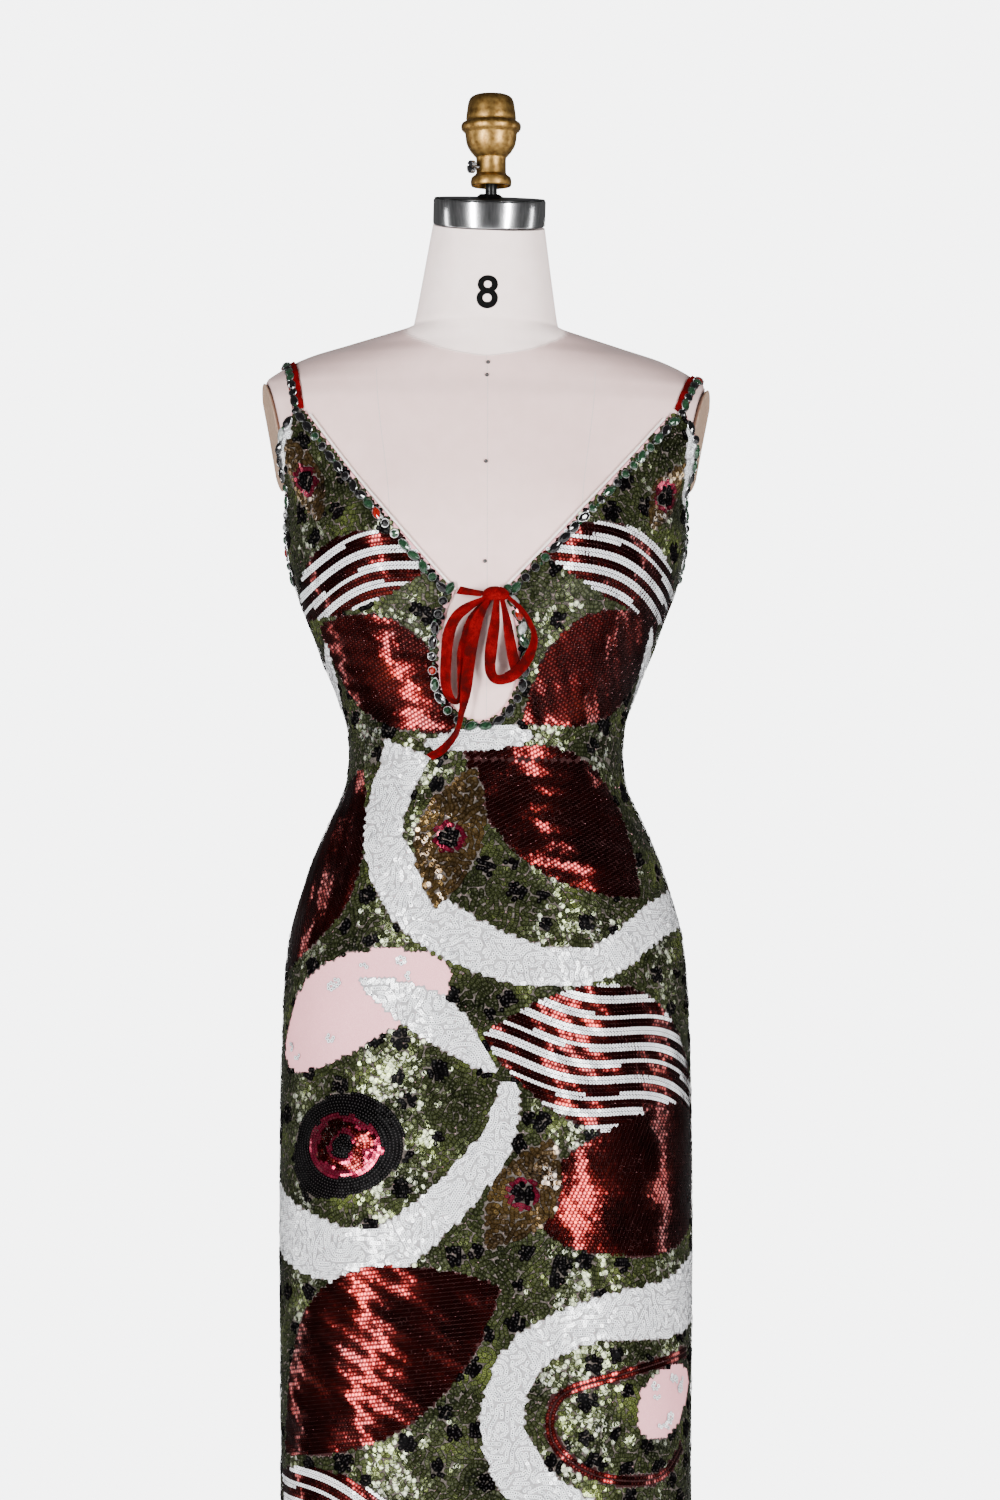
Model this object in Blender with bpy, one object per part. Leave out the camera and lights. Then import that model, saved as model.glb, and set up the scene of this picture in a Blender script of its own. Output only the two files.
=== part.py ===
"""Sequin maxi dress on its limbless dress form.

Metres, +Z up. The origin is the centre of the stand's underside, on the floor. The front of the
dress faces -Y, and +X is the viewer's right. The cloth is a thin wall around the form: every panel
is worked out from the form's own sections, moved out by named amounts.
"""

import math

import bmesh
import bpy
from mathutils import Matrix, Vector

# ---------------------------------------------------------------- driving dimensions
SEAM_GAP = 0.0003            # air between neighbouring pieces
CLOTH_CLEAR = 0.0014         # form to the inside of the cloth
CLOTH_WALL = 0.0017          # net with its sequins

HEM_Z = 0.032
WAIST_Z = 1.080
HIP_Z = 0.865                # below this the skirt hangs free of the form
SIDE_TOP_Z = 1.248           # foot of the armhole, top of the low back
CUP_TOP_Z = 1.388            # where the straps join the cups

KEYHOLE_SHIFT = -0.006       # the front opening sits a little to one side
KEYHOLE_LOW_Z = 1.1138
KEYHOLE_MID_Z = 1.165
KEYHOLE_TOP_Z = 1.2236       # the tie's height
KEYHOLE_HALF = 0.0345
KEYHOLE_RISE = 0.073         # upper semi-axis of the keyhole's arc
CUP_TOP_INNER = {-1: 0.158, 1: 0.161}      # the cups' top corners, left and right
CUP_TOP_OUTER = {-1: 0.170, 1: 0.177}
NECKLINE_BOW = 0.005         # how far each V edge scoops outwards
ARMHOLE_POWER = 1.35
SIDE_SPREAD = 0.008          # how much higher a bodice row is at the side than at the opening
SPREAD_HEIGHT = 0.14         # and over what height that fades in and out

STONE_LINE = 0.0045          # edge of the cloth to the row of stones
STONE_RISE = 0.0021
STRAP_WIDTH = 0.009
STRAP_THICK = 0.0014
STRAP_SEAT = 0.0006
STRAP_PIVOT_Z = 1.36
STRAP_RING_STEP = 0.0042
BINDING_RADIUS = 0.0013
BINDING_FOOT = 0.001         # the binding's ends, in from those of the V
BINDING_HEAD = 0.005
RIBBON_THICK = 0.001

PANEL_TURN = math.radians(9.0)
FRONT_STEPS = 20
BACK_STEPS = 10
BODICE_BACK_ROWS = 12
BODICE_STEPS = 7             # between a bodice half's two stone lines
STONE_SHARE = 0.16           # most of a row that a stone line may take
TORSO_SEGMENTS = 40
ROUND_SEGMENTS = 24
NECK_SEGMENTS = 32
BASE_SEGMENTS = 48
SCREW_SEGMENTS = 20
BINDING_STEPS = 24
SLOPE_STEP = 0.0004

SHOULDER_DROP = 0.006        # how much lower the right shoulder is
DROP_FOOT_Z = 1.30
DROP_TOP_Z = 1.42
DROP_X = 0.20
ARM_CUT_Z = 1.368            # middle of the shoulder ends
ARM_CUT_X = 0.1852
ARM_CUT_SLOPE = 0.18
ARM_PLATE_THICK = 0.005
ARM_PLATE_DEPTH = 0.044
ARM_PLATE_HEIGHT = 0.048
ARM_PLATE_Z = 1.371
ARM_PLATE_EDGE = 0.0022

NECK_BEND_Z = 1.475
NECK_TOP_Z = 1.5605
NECK_LEAN = 0.03             # sideways lean of the neck, metres per metre
NECK_PITCH = math.radians(13.0)
NECK_ROLL = math.radians(1.4)
BAND_RADIUS = 0.0503
BAND_HEIGHT = 0.023
BAND_EDGE = 0.0006
CAP_RADIUS = 0.0492
CAP_THICK = 0.0025
CAP_EDGE = 0.0008
CAP_BOSS = ((0.0125, 0.0002), (0.0085, 0.0028))    # radius, height over the cap
ROD_RADIUS = 0.006
FINIAL_X = 0.0045
FINIAL_Z = 1.5940

FORM_BOTTOM_Z = 0.760
POLE_RADIUS = 0.0125
BASE_RADIUS = 0.230
BASE_THICK = 0.008
BASE_EDGE = 0.0015
SOCKET_FOOT = (0.026, 0.006)               # radius, height
SOCKET_NECK = (0.019, 0.012)
SOCKET_HEIGHT = 0.045
FLANGE_RADIUS = 0.032
FLANGE_THICK = 0.010
FLANGE_EDGE = 0.001

# The form's sections: height, half width, front and back depth, and squareness.
FORM_COLUMNS = ("z", "half", "front", "back", "square")
FORM_SECTIONS = (
    (0.760, 0.1560, 0.0980, 0.1120, 2.15),
    (0.800, 0.1680, 0.1055, 0.1225, 2.15),
    (0.840, 0.1745, 0.1095, 0.1290, 2.15),
    (0.865, 0.1755, 0.1105, 0.1305, 2.15),
    (0.905, 0.1728, 0.1095, 0.1295, 2.15),
    (0.930, 0.1695, 0.1075, 0.1260, 2.15),
    (0.960, 0.1615, 0.1035, 0.1190, 2.12),
    (0.996, 0.1498, 0.0985, 0.1080, 2.10),
    (1.031, 0.1344, 0.0930, 0.0945, 2.08),
    (1.060, 0.1215, 0.0895, 0.0845, 2.06),
    (1.084, 0.1180, 0.0880, 0.0800, 2.06),
    (1.110, 0.1195, 0.0890, 0.0800, 2.08),
    (1.138, 0.1280, 0.0930, 0.0835, 2.12),
    (1.173, 0.1422, 0.1005, 0.0890, 2.16),
    (1.209, 0.1556, 0.1085, 0.0945, 2.22),
    (1.244, 0.1680, 0.1150, 0.0985, 2.28),
    (1.280, 0.1745, 0.1170, 0.1020, 2.30),
    (1.312, 0.1765, 0.1125, 0.1045, 2.30),
    (1.340, 0.1900, 0.1045, 0.1060, 2.30),
    (1.370, 0.2030, 0.0940, 0.1060, 2.30),
    (1.400, 0.2050, 0.0825, 0.1030, 2.30),
    (1.4165, 0.1990, 0.0745, 0.0980, 2.25),
    (1.4300, 0.1820, 0.0690, 0.0920, 2.10),
    (1.4420, 0.1580, 0.0645, 0.0850, 1.85),
    (1.4530, 0.1230, 0.0610, 0.0780, 1.60),
    (1.4640, 0.0850, 0.0580, 0.0700, 1.70),
    (1.4750, 0.0655, 0.0560, 0.0640, 2.00),
    (1.5000, 0.0592, 0.0530, 0.0585, 2.00),
    (1.5300, 0.0545, 0.0510, 0.0535, 2.00),
    (1.5605, 0.0498, 0.0495, 0.0500, 2.00),
)

# Soft swell of the form's chest on each side of the centre line.
SWELL = {"rise": 0.0105, "x": 0.083, "z": 1.286, "wide": 0.046, "tall": 0.052}

# How the free skirt differs from the hip section, going down.
SKIRT_DRIFT = (
    (0.865, 0.0000, 0.0000, 0.0000),
    (0.780, 0.0025, 0.0030, -0.0010),
    (0.690, 0.0030, 0.0050, -0.0030),
    (0.430, 0.0012, 0.0060, -0.0060),
    (0.032, 0.0010, 0.0060, -0.0080),
)
SKIRT_ROWS = (
    HEM_Z, 0.20, 0.37, 0.54, 0.67, 0.76, 0.82, 0.865, 0.90, 0.93, 0.96, 0.99,
    1.02, 1.045, 1.064, WAIST_Z - SEAM_GAP / 2,
)
TORSO_ROWS = (
    FORM_BOTTOM_Z, 0.79, 0.82, 0.865, 0.90, 0.93, 0.96, 0.99, 1.02, 1.045, 1.064,
    1.082, 1.10, 1.12, 1.145, 1.18, 1.215, 1.25, 1.28, 1.312, 1.335, 1.362, 1.39,
    1.408, 1.420, 1.430, 1.440, 1.449, 1.458, 1.467, 1.480, 1.51, NECK_TOP_Z,
)

# A strap's route over the shoulder: angle seen from the side, left and right distance from centre.
STRAP_ROUTE = (
    (154.0, 0.1640, 0.1695),
    (128.0, 0.1690, 0.1790),
    (104.0, 0.1735, 0.1860),
    (80.0, 0.1755, 0.1870),
    (50.0, 0.1720, 0.1810),
    (15.0, 0.1560, 0.1620),
    (-20.0, 0.1330, 0.1350),
    (-51.0, 0.1120, 0.1120),
)

# Ribbon strands: across, height, distance out from the cloth, width, turn. Millimetres, degrees.
RIBBON_STRANDS = {
    "ribbon_lead_left": (
        (-23.4, 1225.4, -0.6, 9.0, 0.0),
        (-17.0, 1224.0, 2.4, 7.5, 4.0),
        (-10.0, 1222.6, 6.0, 6.0, 8.0),
        (-3.6, 1221.6, 8.8, 5.5, 0.0),
    ),
    "ribbon_lead_right": (
        (13.1, 1224.7, -0.6, 7.0, 0.0),
        (11.2, 1223.5, 1.2, 6.5, 0.0),
        (9.1, 1222.3, 2.8, 6.0, 0.0),
        (6.8, 1221.4, 3.9, 5.5, 0.0),
    ),
    "ribbon_loop_left": (
        (-1.4, 1216.2, 11.4, 5.5, 20.0),
        (-14.0, 1210.6, 11.6, 8.0, 15.0),
        (-25.2, 1201.5, 11.0, 9.5, 10.0),
        (-31.6, 1186.8, 10.0, 9.5, 0.0),
        (-34.0, 1165.0, 9.2, 9.5, -5.0),
        (-34.2, 1144.0, 8.8, 9.0, -15.0),
        (-30.0, 1132.6, 8.2, 7.0, -30.0),
        (-25.2, 1129.4, 7.6, 5.0, -40.0),
        (-21.6, 1134.0, 7.0, 5.5, -30.0),
        (-20.6, 1150.0, 6.4, 8.0, -10.0),
        (-19.0, 1173.0, 6.2, 9.0, 0.0),
        (-14.6, 1194.0, 6.4, 8.0, 5.0),
        (-8.4, 1206.0, 6.4, 6.5, 10.0),
        (-2.0, 1213.6, 6.6, 5.0, 10.0),
    ),
    "ribbon_tail_left": (
        (1.8, 1214.6, 9.0, 6.5, 0.0),
        (-6.4, 1200.5, 9.6, 10.0, 0.0),
        (-12.2, 1177.0, 10.0, 11.5, 0.0),
        (-15.6, 1152.0, 9.4, 11.5, 5.0),
        (-17.6, 1134.0, 10.2, 9.0, 20.0),
        (-21.2, 1117.0, 11.0, 6.0, 45.0),
        (-23.0, 1108.6, 11.0, 6.0, 50.0),
        (-27.0, 1099.5, 10.4, 7.0, 40.0),
        (-36.6, 1088.4, 9.2, 8.0, 25.0),
        (-48.0, 1081.4, 8.0, 8.0, 40.0),
    ),
    "ribbon_loop_right": (
        (10.2, 1214.7, 10.0, 7.0, 0.0),
        (7.8, 1196.5, 11.2, 9.5, 0.0),
        (4.6, 1174.0, 11.0, 10.0, 0.0),
        (3.8, 1157.5, 10.6, 9.5, -10.0),
        (7.0, 1149.6, 10.4, 8.5, -20.0),
        (13.8, 1148.0, 10.8, 8.5, -15.0),
        (22.4, 1151.6, 11.2, 9.5, 0.0),
        (30.4, 1158.6, 11.4, 10.0, 10.0),
        (36.9, 1168.0, 11.4, 9.5, 15.0),
        (41.0, 1178.5, 11.2, 8.0, 30.0),
        (41.2, 1188.5, 11.0, 6.0, 45.0),
        (36.2, 1199.6, 10.8, 5.0, 55.0),
        (29.0, 1209.6, 10.4, 5.0, 50.0),
        (20.6, 1218.4, 9.4, 5.0, 30.0),
    ),
    "ribbon_tail_right": (
        (14.6, 1214.9, 7.4, 5.5, 0.0),
        (18.0, 1199.0, 7.4, 7.5, 0.0),
        (20.8, 1182.0, 7.6, 9.0, 0.0),
        (23.6, 1167.0, 7.4, 10.0, 0.0),
        (26.2, 1157.6, 7.2, 10.5, 5.0),
    ),
}
RIBBON_STEPS = 2             # straight steps between two rows of a strand
KNOT_CENTRE = (0.0085, 1.2205, 0.0088)     # across, height, distance out
KNOT_HALF = (0.0115, 0.0058, 0.0038)
KNOT_STEPS = (10, 12)                      # along, around
KNOT_TAPER = (3.2, 0.72)                   # power, share lost at the ends
KNOT_FOLDS = (6, 0.07)                     # number, depth
KNOT_ROUND = 0.8
KNOT_ARCH = 0.0012

# Turned profiles, radius and height, from the bottom up.
FINIAL_PROFILE = (
    (0.0150, 0.0000), (0.0178, 0.0012), (0.0183, 0.0050), (0.0178, 0.0092), (0.0142, 0.0112),
    (0.0136, 0.0150), (0.0138, 0.0262), (0.0150, 0.0285), (0.0190, 0.0318), (0.0214, 0.0365),
    (0.0223, 0.0420), (0.0226, 0.0478), (0.0246, 0.0494), (0.0263, 0.0522), (0.0262, 0.0548),
    (0.0240, 0.0572), (0.0214, 0.0588), (0.0213, 0.0640), (0.0209, 0.0700), (0.0196, 0.0768),
    (0.0170, 0.0818), (0.0120, 0.0850), (0.0060, 0.0858),
)
COLLAR_RADIUS = 0.0138
SCREW_ANGLE = math.radians(218.0)
SCREW_TURN = math.radians(28.0)
SCREW_Z = 0.0185
SCREW_RADIUS = 0.0056
SCREW_HEAD = 0.0045
SCREW_EDGE = 0.0007
SCREW_SLOT = (0.0013, 0.0016)              # width, depth


# ---------------------------------------------------------------- scene, materials, objects
def clear_scene():
    for old in list(bpy.data.objects):
        bpy.data.objects.remove(old, do_unlink=True)


def make_material(name, colour, roughness, metallic=0.0):
    material = bpy.data.materials.new(name)
    material.use_nodes = True
    shader = material.node_tree.nodes["Principled BSDF"]
    shader.inputs["Base Color"].default_value = (*colour, 1.0)
    shader.inputs["Roughness"].default_value = roughness
    shader.inputs["Metallic"].default_value = metallic
    return material


def make_materials():
    return {
        "sequins": make_material("sequins", (0.16, 0.17, 0.10), 0.30),
        "velvet": make_material("velvet", (0.55, 0.012, 0.012), 0.85),
        "piping": make_material("piping", (0.78, 0.66, 0.63), 0.70),
        "linen": make_material("linen", (0.74, 0.66, 0.63), 0.85),
        "plate": make_material("plate", (0.50, 0.38, 0.29), 0.70),
        "steel": make_material("steel", (0.48, 0.48, 0.49), 0.28, 1.0),
        "black": make_material("black", (0.012, 0.012, 0.014), 0.40),
        "brass": make_material("brass", (0.42, 0.25, 0.09), 0.42, 1.0),
        "screw": make_material("screw", (0.55, 0.55, 0.56), 0.30, 1.0),
        "stand": make_material("stand", (0.03, 0.03, 0.032), 0.45, 0.6),
    }


def add_object(name, mesh, material, smooth_degrees=35.0):
    mesh.shade_smooth()
    mesh.set_sharp_from_angle(angle=math.radians(smooth_degrees))
    mesh.materials.append(material)
    thing = bpy.data.objects.new(name, mesh)
    bpy.context.scene.collection.objects.link(thing)
    return thing


def mesh_from(name, points, faces):
    mesh = bpy.data.meshes.new(name)
    mesh.from_pydata([tuple(point) for point in points], [], faces)
    mesh.validate()
    return mesh


# ---------------------------------------------------------------- smooth tables
def smooth_row(rows, place):
    """Values of a table at one place, through its rows with cubic steps between them."""
    last = len(rows) - 1
    rising = rows[last][0] > rows[0][0]
    index = 0
    while index < last - 1 and (place > rows[index + 1][0]) == rising:
        index += 1
    low, high = rows[index], rows[index + 1]
    before = rows[max(index - 1, 0)]
    after = rows[min(index + 2, last)]
    span = high[0] - low[0]
    t = min(max((place - low[0]) / span, 0.0), 1.0)
    values = []
    for column in range(1, len(low)):
        chord = high[column] - low[column]
        start = limited_slope(before, low, high, column) * span
        end = limited_slope(low, high, after, column) * span
        values.append(
            low[column] + start * t
            + (3 * chord - 2 * start - end) * t * t
            + (start + end - 2 * chord) * t ** 3
        )
    return values


def limited_slope(before, here, after, column):
    """Slope at a row, flat at a turning point, so that the curve never overshoots its rows."""
    if before is here or here is after:
        other = after if before is here else before
        return (other[column] - here[column]) / (other[0] - here[0])
    left = (here[column] - before[column]) / (here[0] - before[0])
    right = (after[column] - here[column]) / (after[0] - here[0])
    if left * right <= 0:
        return 0.0
    return 2 * left * right / (left + right)


def form_section(z):
    return dict(zip(FORM_COLUMNS[1:], smooth_row(FORM_SECTIONS, z)))


def cloth_section(z):
    """The inside of the cloth: the form's section with its clearance, hanging free below the hip."""
    section = form_section(max(z, HIP_Z))
    drift = smooth_row(SKIRT_DRIFT, z) if z < HIP_Z else (0.0, 0.0, 0.0)
    section["half"] += CLOTH_CLEAR + drift[0]
    section["front"] += CLOTH_CLEAR + drift[1]
    section["back"] += CLOTH_CLEAR + drift[2]
    return section


# ---------------------------------------------------------------- surfaces
def power(value, exponent):
    return math.copysign(abs(value) ** exponent, value)


def chest_swell(x, z):
    side = (abs(x) - SWELL["x"]) / SWELL["wide"]
    level = (z - SWELL["z"]) / SWELL["tall"]
    return SWELL["rise"] * math.exp(-side * side - level * level)


def smooth_share(value, low, high):
    t = min(max((value - low) / (high - low), 0.0), 1.0)
    return t * t * (3 - 2 * t)


def shoulder_drop(x, z):
    return SHOULDER_DROP * max(x, 0.0) / DROP_X * smooth_share(z, DROP_FOOT_Z, DROP_TOP_Z)


def surface_point(section, angle, z, out=0.0):
    """Angle 0 is the +X side, -90 degrees the front and 90 degrees the back."""
    exponent = 2.0 / section["square"]
    depth = section["front"] if math.sin(angle) < 0 else section["back"]
    x = (section["half"] + out) * power(math.cos(angle), exponent)
    y = (depth + out) * power(math.sin(angle), exponent)
    if y < 0:
        y -= chest_swell(x, z)
    return Vector((x, y, z - shoulder_drop(x, z)))


def front_angle_at_x(section, x, out=0.0):
    ratio = min(max(x / (section["half"] + out), -1.0), 1.0)
    return -math.acos(power(ratio, section["square"] / 2.0))


def side_angle_at_y(section, y):
    depth = section["back"] if y > 0 else section["front"]
    return math.asin(power(y / depth, section["square"] / 2.0))


def inside_form(x, y, z):
    """Below 0 inside the form and above 0 outside it."""
    level = z + shoulder_drop(x, z)
    z = z + shoulder_drop(x, level)
    section = form_section(z)
    depth = section["back"] if y > 0 else section["front"] + chest_swell(x, z)
    square = section["square"]
    return abs(x / section["half"]) ** square + abs(y / depth) ** square - 1.0


def form_normal(point):
    slope = []
    for axis in range(3):
        step = Vector((0.0, 0.0, 0.0))
        step[axis] = SLOPE_STEP
        slope.append(inside_form(*(point + step)) - inside_form(*(point - step)))
    return Vector(slope).normalized()


# ---------------------------------------------------------------- cloth walls
def add_wall(name, outer, inner, faces, material):
    """A closed wall from an outer sheet, an inner sheet with the same faces, and its edges."""
    count = len(outer)
    edges = {}
    for face in faces:
        for a, b in zip(face, face[1:] + face[:1]):
            edges[(a, b)] = True
    rim = [(a, b) for a, b in edges if (b, a) not in edges]
    solid = list(faces)
    solid += [tuple(index + count for index in reversed(face)) for face in faces]
    solid += [(b, a, a + count, b + count) for a, b in rim]
    return add_object(name, mesh_from(name, outer + inner, solid), material)


def grid_faces(rows, columns, start=0):
    """Faces of a grid whose rows go up and whose columns go round towards +X at the front."""
    faces = []
    for row in range(rows - 1):
        for column in range(columns - 1):
            corner = start + row * columns + column
            faces.append((corner, corner + 1, corner + columns + 1, corner + columns))
    return faces


def add_panel(name, heights, angle_from, angle_to, steps, material):
    """A plain panel between two seams. The angles are functions of the section."""
    outer = []
    inner = []
    for z in heights:
        section = cloth_section(z)
        start = angle_from(section)
        end = angle_to(section)
        for step in range(steps + 1):
            if step == 0:
                angle = start
            elif step == steps:
                angle = end
            else:
                angle = round(start / PANEL_TURN) * PANEL_TURN + step * PANEL_TURN
            inner.append(surface_point(section, angle, z))
            outer.append(surface_point(section, angle, z, CLOTH_WALL))
    return add_wall(name, outer, inner, grid_faces(len(heights), steps + 1), material)


def left_side_front(section):
    return -math.pi - side_angle_at_y(section, -SEAM_GAP / 2)


def right_side_front(section):
    return side_angle_at_y(section, -SEAM_GAP / 2)


def right_side_back(section):
    return side_angle_at_y(section, SEAM_GAP / 2)


def left_side_back(section):
    return math.pi - side_angle_at_y(section, SEAM_GAP / 2)


def centre_back_right(section):
    return -front_angle_at_x(section, SEAM_GAP / 2)


def centre_back_left(section):
    return -front_angle_at_x(section, -SEAM_GAP / 2)


def add_back_panels(name, heights, material):
    add_panel(name + "_right", heights, right_side_back, centre_back_right, BACK_STEPS, material)
    add_panel(name + "_left", heights, centre_back_left, left_side_back, BACK_STEPS, material)


def add_skirt(material):
    add_panel("skirt_front", SKIRT_ROWS, left_side_front, right_side_front, FRONT_STEPS, material)
    add_back_panels("skirt_back", SKIRT_ROWS, material)


def add_bodice_back(material):
    bottom = WAIST_Z + SEAM_GAP / 2
    rise = (SIDE_TOP_Z - bottom) / BODICE_BACK_ROWS
    heights = [bottom + rise * row for row in range(BODICE_BACK_ROWS + 1)]
    add_back_panels("bodice_back", heights, material)


# ---------------------------------------------------------------- bodice front
def opening_shift(z):
    """Sideways shift of the front opening, fading out towards the cup tops."""
    fade = (CUP_TOP_Z - z) / (CUP_TOP_Z - KEYHOLE_TOP_Z)
    return KEYHOLE_SHIFT * min(max(fade, 0.0), 1.0)


def neckline_half(z, sign):
    """Half the opening of the V at a height, between the tie and the cup tops."""
    t = (z - KEYHOLE_TOP_Z) / (CUP_TOP_Z - KEYHOLE_TOP_Z)
    start = KEYHOLE_HALF * math.sqrt(1 - ((KEYHOLE_TOP_Z - KEYHOLE_MID_Z) / KEYHOLE_RISE) ** 2)
    return start + (CUP_TOP_INNER[sign] - start) * t + NECKLINE_BOW * math.sin(math.pi * t)


def inner_edge(sign):
    """Half width and height down the cloth's inner edge, from the waist up to the cup top."""
    seam, keyhole, neckline = 4, 18, 30
    bottom = WAIST_Z + SEAM_GAP / 2
    edge = [(0.0, bottom + (KEYHOLE_LOW_Z - bottom) * step / seam) for step in range(seam)]
    end = math.asin((KEYHOLE_TOP_Z - KEYHOLE_MID_Z) / KEYHOLE_RISE)
    for step in range(keyhole):
        turn = -math.pi / 2 + (end + math.pi / 2) * step / keyhole
        rise = KEYHOLE_RISE if turn > 0 else KEYHOLE_MID_Z - KEYHOLE_LOW_Z
        edge.append((KEYHOLE_HALF * math.cos(turn), KEYHOLE_MID_Z + rise * math.sin(turn)))
    for step in range(neckline + 1):
        z = KEYHOLE_TOP_Z + (CUP_TOP_Z - KEYHOLE_TOP_Z) * step / neckline
        edge.append((neckline_half(z, sign), z))
    return edge, seam


def outer_edge_height(z, first_z):
    """Height on the side seam and armhole that a point of the inner edge is joined to."""
    share = min(max((z - first_z) / SPREAD_HEIGHT, 0.0), 1.0)
    return z + SIDE_SPREAD * math.sin(math.pi * share)


def armhole_angle(z, sign):
    """How far the armhole's edge lies in front of the side seam."""
    if z <= SIDE_TOP_Z:
        return 0.0
    section = cloth_section(CUP_TOP_Z)
    top = -front_angle_at_x(section, CUP_TOP_OUTER[sign], CLOTH_WALL)
    return top * ((z - SIDE_TOP_Z) / (CUP_TOP_Z - SIDE_TOP_Z)) ** ARMHOLE_POWER


def bodice_fractions(length):
    """Places across a row: the stone line at each edge, and even steps between."""
    near = min(STONE_LINE / length, STONE_SHARE)
    step = (1 - 4 * near) / BODICE_STEPS
    inside = [2 * near + step * place for place in range(BODICE_STEPS + 1)]
    return [0.0, near] + inside + [1.0 - near, 1.0]


def bodice_half(sign):
    """Outer and inner points of one half, each row from the opening to the side."""
    edge, first_open = inner_edge(sign)
    outer = []
    inner = []
    for row, (half, z) in enumerate(edge):
        x = opening_shift(z) + sign * half
        section = cloth_section(z)
        start = front_angle_at_x(section, x)
        side_z = outer_edge_height(z, edge[0][1])
        side_section = cloth_section(side_z)
        reach = max(armhole_angle(side_z, sign), abs(side_angle_at_y(side_section, -SEAM_GAP / 2)))
        end = -reach if sign > 0 else -math.pi + reach
        length = abs(end - start) * section["half"]
        fractions = bodice_fractions(length)
        for place, t in enumerate(fractions):
            height = z + (side_z - z) * t
            here = cloth_section(height)
            angle = start + (end - start) * t
            on_neckline = place == 1 and row > first_open
            on_armhole = place == len(fractions) - 2 and side_z > SIDE_TOP_Z
            raised = STONE_RISE if (on_neckline or on_armhole) and row % 2 else 0.0
            inner.append(surface_point(here, angle, height))
            outer.append(surface_point(here, angle, height, CLOTH_WALL + raised))
    return outer, inner, len(edge), len(fractions), first_open


def add_bodice_front(material):
    right_outer, right_inner, rows, columns, first_open = bodice_half(1)
    left_outer, left_inner, *_ = bodice_half(-1)
    shift = len(right_outer)
    faces = grid_faces(rows, columns)
    faces += [tuple(reversed(face)) for face in grid_faces(rows, columns, shift)]
    shared = {shift + row * columns: row * columns for row in range(first_open + 1)}
    faces = [tuple(shared.get(index, index) for index in face) for face in faces]
    used = sorted({index for face in faces for index in face})
    renumber = {index: place for place, index in enumerate(used)}
    faces = [tuple(renumber[index] for index in face) for face in faces]
    outer = right_outer + left_outer
    inner = right_inner + left_inner
    outer = [outer[index] for index in used]
    inner = [inner[index] for index in used]
    add_wall("bodice_front", outer, inner, faces, material)


# ---------------------------------------------------------------- strips and tubes along a path
def path_frames(points):
    """Unit tangents along a list of points."""
    last = len(points) - 1
    return [
        (points[min(index + 1, last)] - points[max(index - 1, 0)]).normalized()
        for index in range(last + 1)
    ]


def add_rings(name, rings, material, smooth_degrees=50.0):
    """A closed solid through rings with the same number of points, capped at both ends."""
    size = len(rings[0])
    points = [point for ring in rings for point in ring]
    faces = []
    for row in range(len(rings) - 1):
        for place in range(size):
            a = row * size + place
            b = row * size + (place + 1) % size
            faces.append((a, b, b + size, a + size))
    faces.append(tuple(reversed(range(size))))
    faces.append(tuple(range(len(points) - size, len(points))))
    mesh = mesh_from(name, points, faces)
    shape = bmesh.new()
    shape.from_mesh(mesh)
    bmesh.ops.recalc_face_normals(shape, faces=shape.faces)
    shape.to_mesh(mesh)
    shape.free()
    return add_object(name, mesh, material, smooth_degrees)


def strap_centre(turn, x):
    """The point of the form's surface that a strap crosses, seen along a ray from inside."""
    direction = (math.cos(turn), math.sin(turn))
    near, far = 0.01, 0.20
    for _ in range(40):
        middle = (near + far) / 2
        outside = inside_form(x, middle * direction[0], STRAP_PIVOT_Z + middle * direction[1]) > 0
        near, far = (near, middle) if outside else (middle, far)
    return Vector((x, near * direction[0], STRAP_PIVOT_Z + near * direction[1]))


def strap_route(sign):
    """Points close together along the route, to be evened out."""
    column = 0 if sign < 0 else 1
    steps = 240
    first, last = STRAP_ROUTE[0][0], STRAP_ROUTE[-1][0]
    dense = []
    for step in range(steps + 1):
        turn = first + (last - first) * step / steps
        x = sign * smooth_row(STRAP_ROUTE, turn)[column]
        dense.append(strap_centre(math.radians(turn), x))
    return dense


def even_points(dense, spacing):
    """Points an even distance apart along a dense route."""
    travelled = [0.0]
    for a, b in zip(dense, dense[1:]):
        travelled.append(travelled[-1] + (b - a).length)
    count = round(travelled[-1] / spacing)
    points = []
    index = 0
    for step in range(count + 1):
        goal = travelled[-1] * step / count
        while index < len(dense) - 2 and travelled[index + 1] < goal:
            index += 1
        share = (goal - travelled[index]) / (travelled[index + 1] - travelled[index])
        points.append(dense[index].lerp(dense[index + 1], share))
    return points


def add_strap(name, sign, material):
    points = even_points(strap_route(sign), STRAP_RING_STEP)
    tangents = path_frames(points)
    ends = {0: CUP_TOP_Z, len(points) - 1: SIDE_TOP_Z}
    rings = []
    for index, (point, tangent) in enumerate(zip(points, tangents)):
        normal = form_normal(point)
        across = tangent.cross(normal).normalized() * (STRAP_WIDTH / 2)
        low = point + normal * (CLOTH_CLEAR if index in ends else STRAP_SEAT)
        high = low + normal * STRAP_THICK
        raised = normal * (STONE_RISE if index % 2 and index + 1 not in ends else 0.0)
        ring = [low - across, low + across, high + across, high + raised, high - across]
        if index in ends:
            seat = ends[index] + SEAM_GAP - shoulder_drop(point.x, ends[index])
            ring = [spot + tangent * ((seat - spot.z) / tangent.z) for spot in ring]
        rings.append(ring)
    add_rings(name, rings, material)


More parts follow.
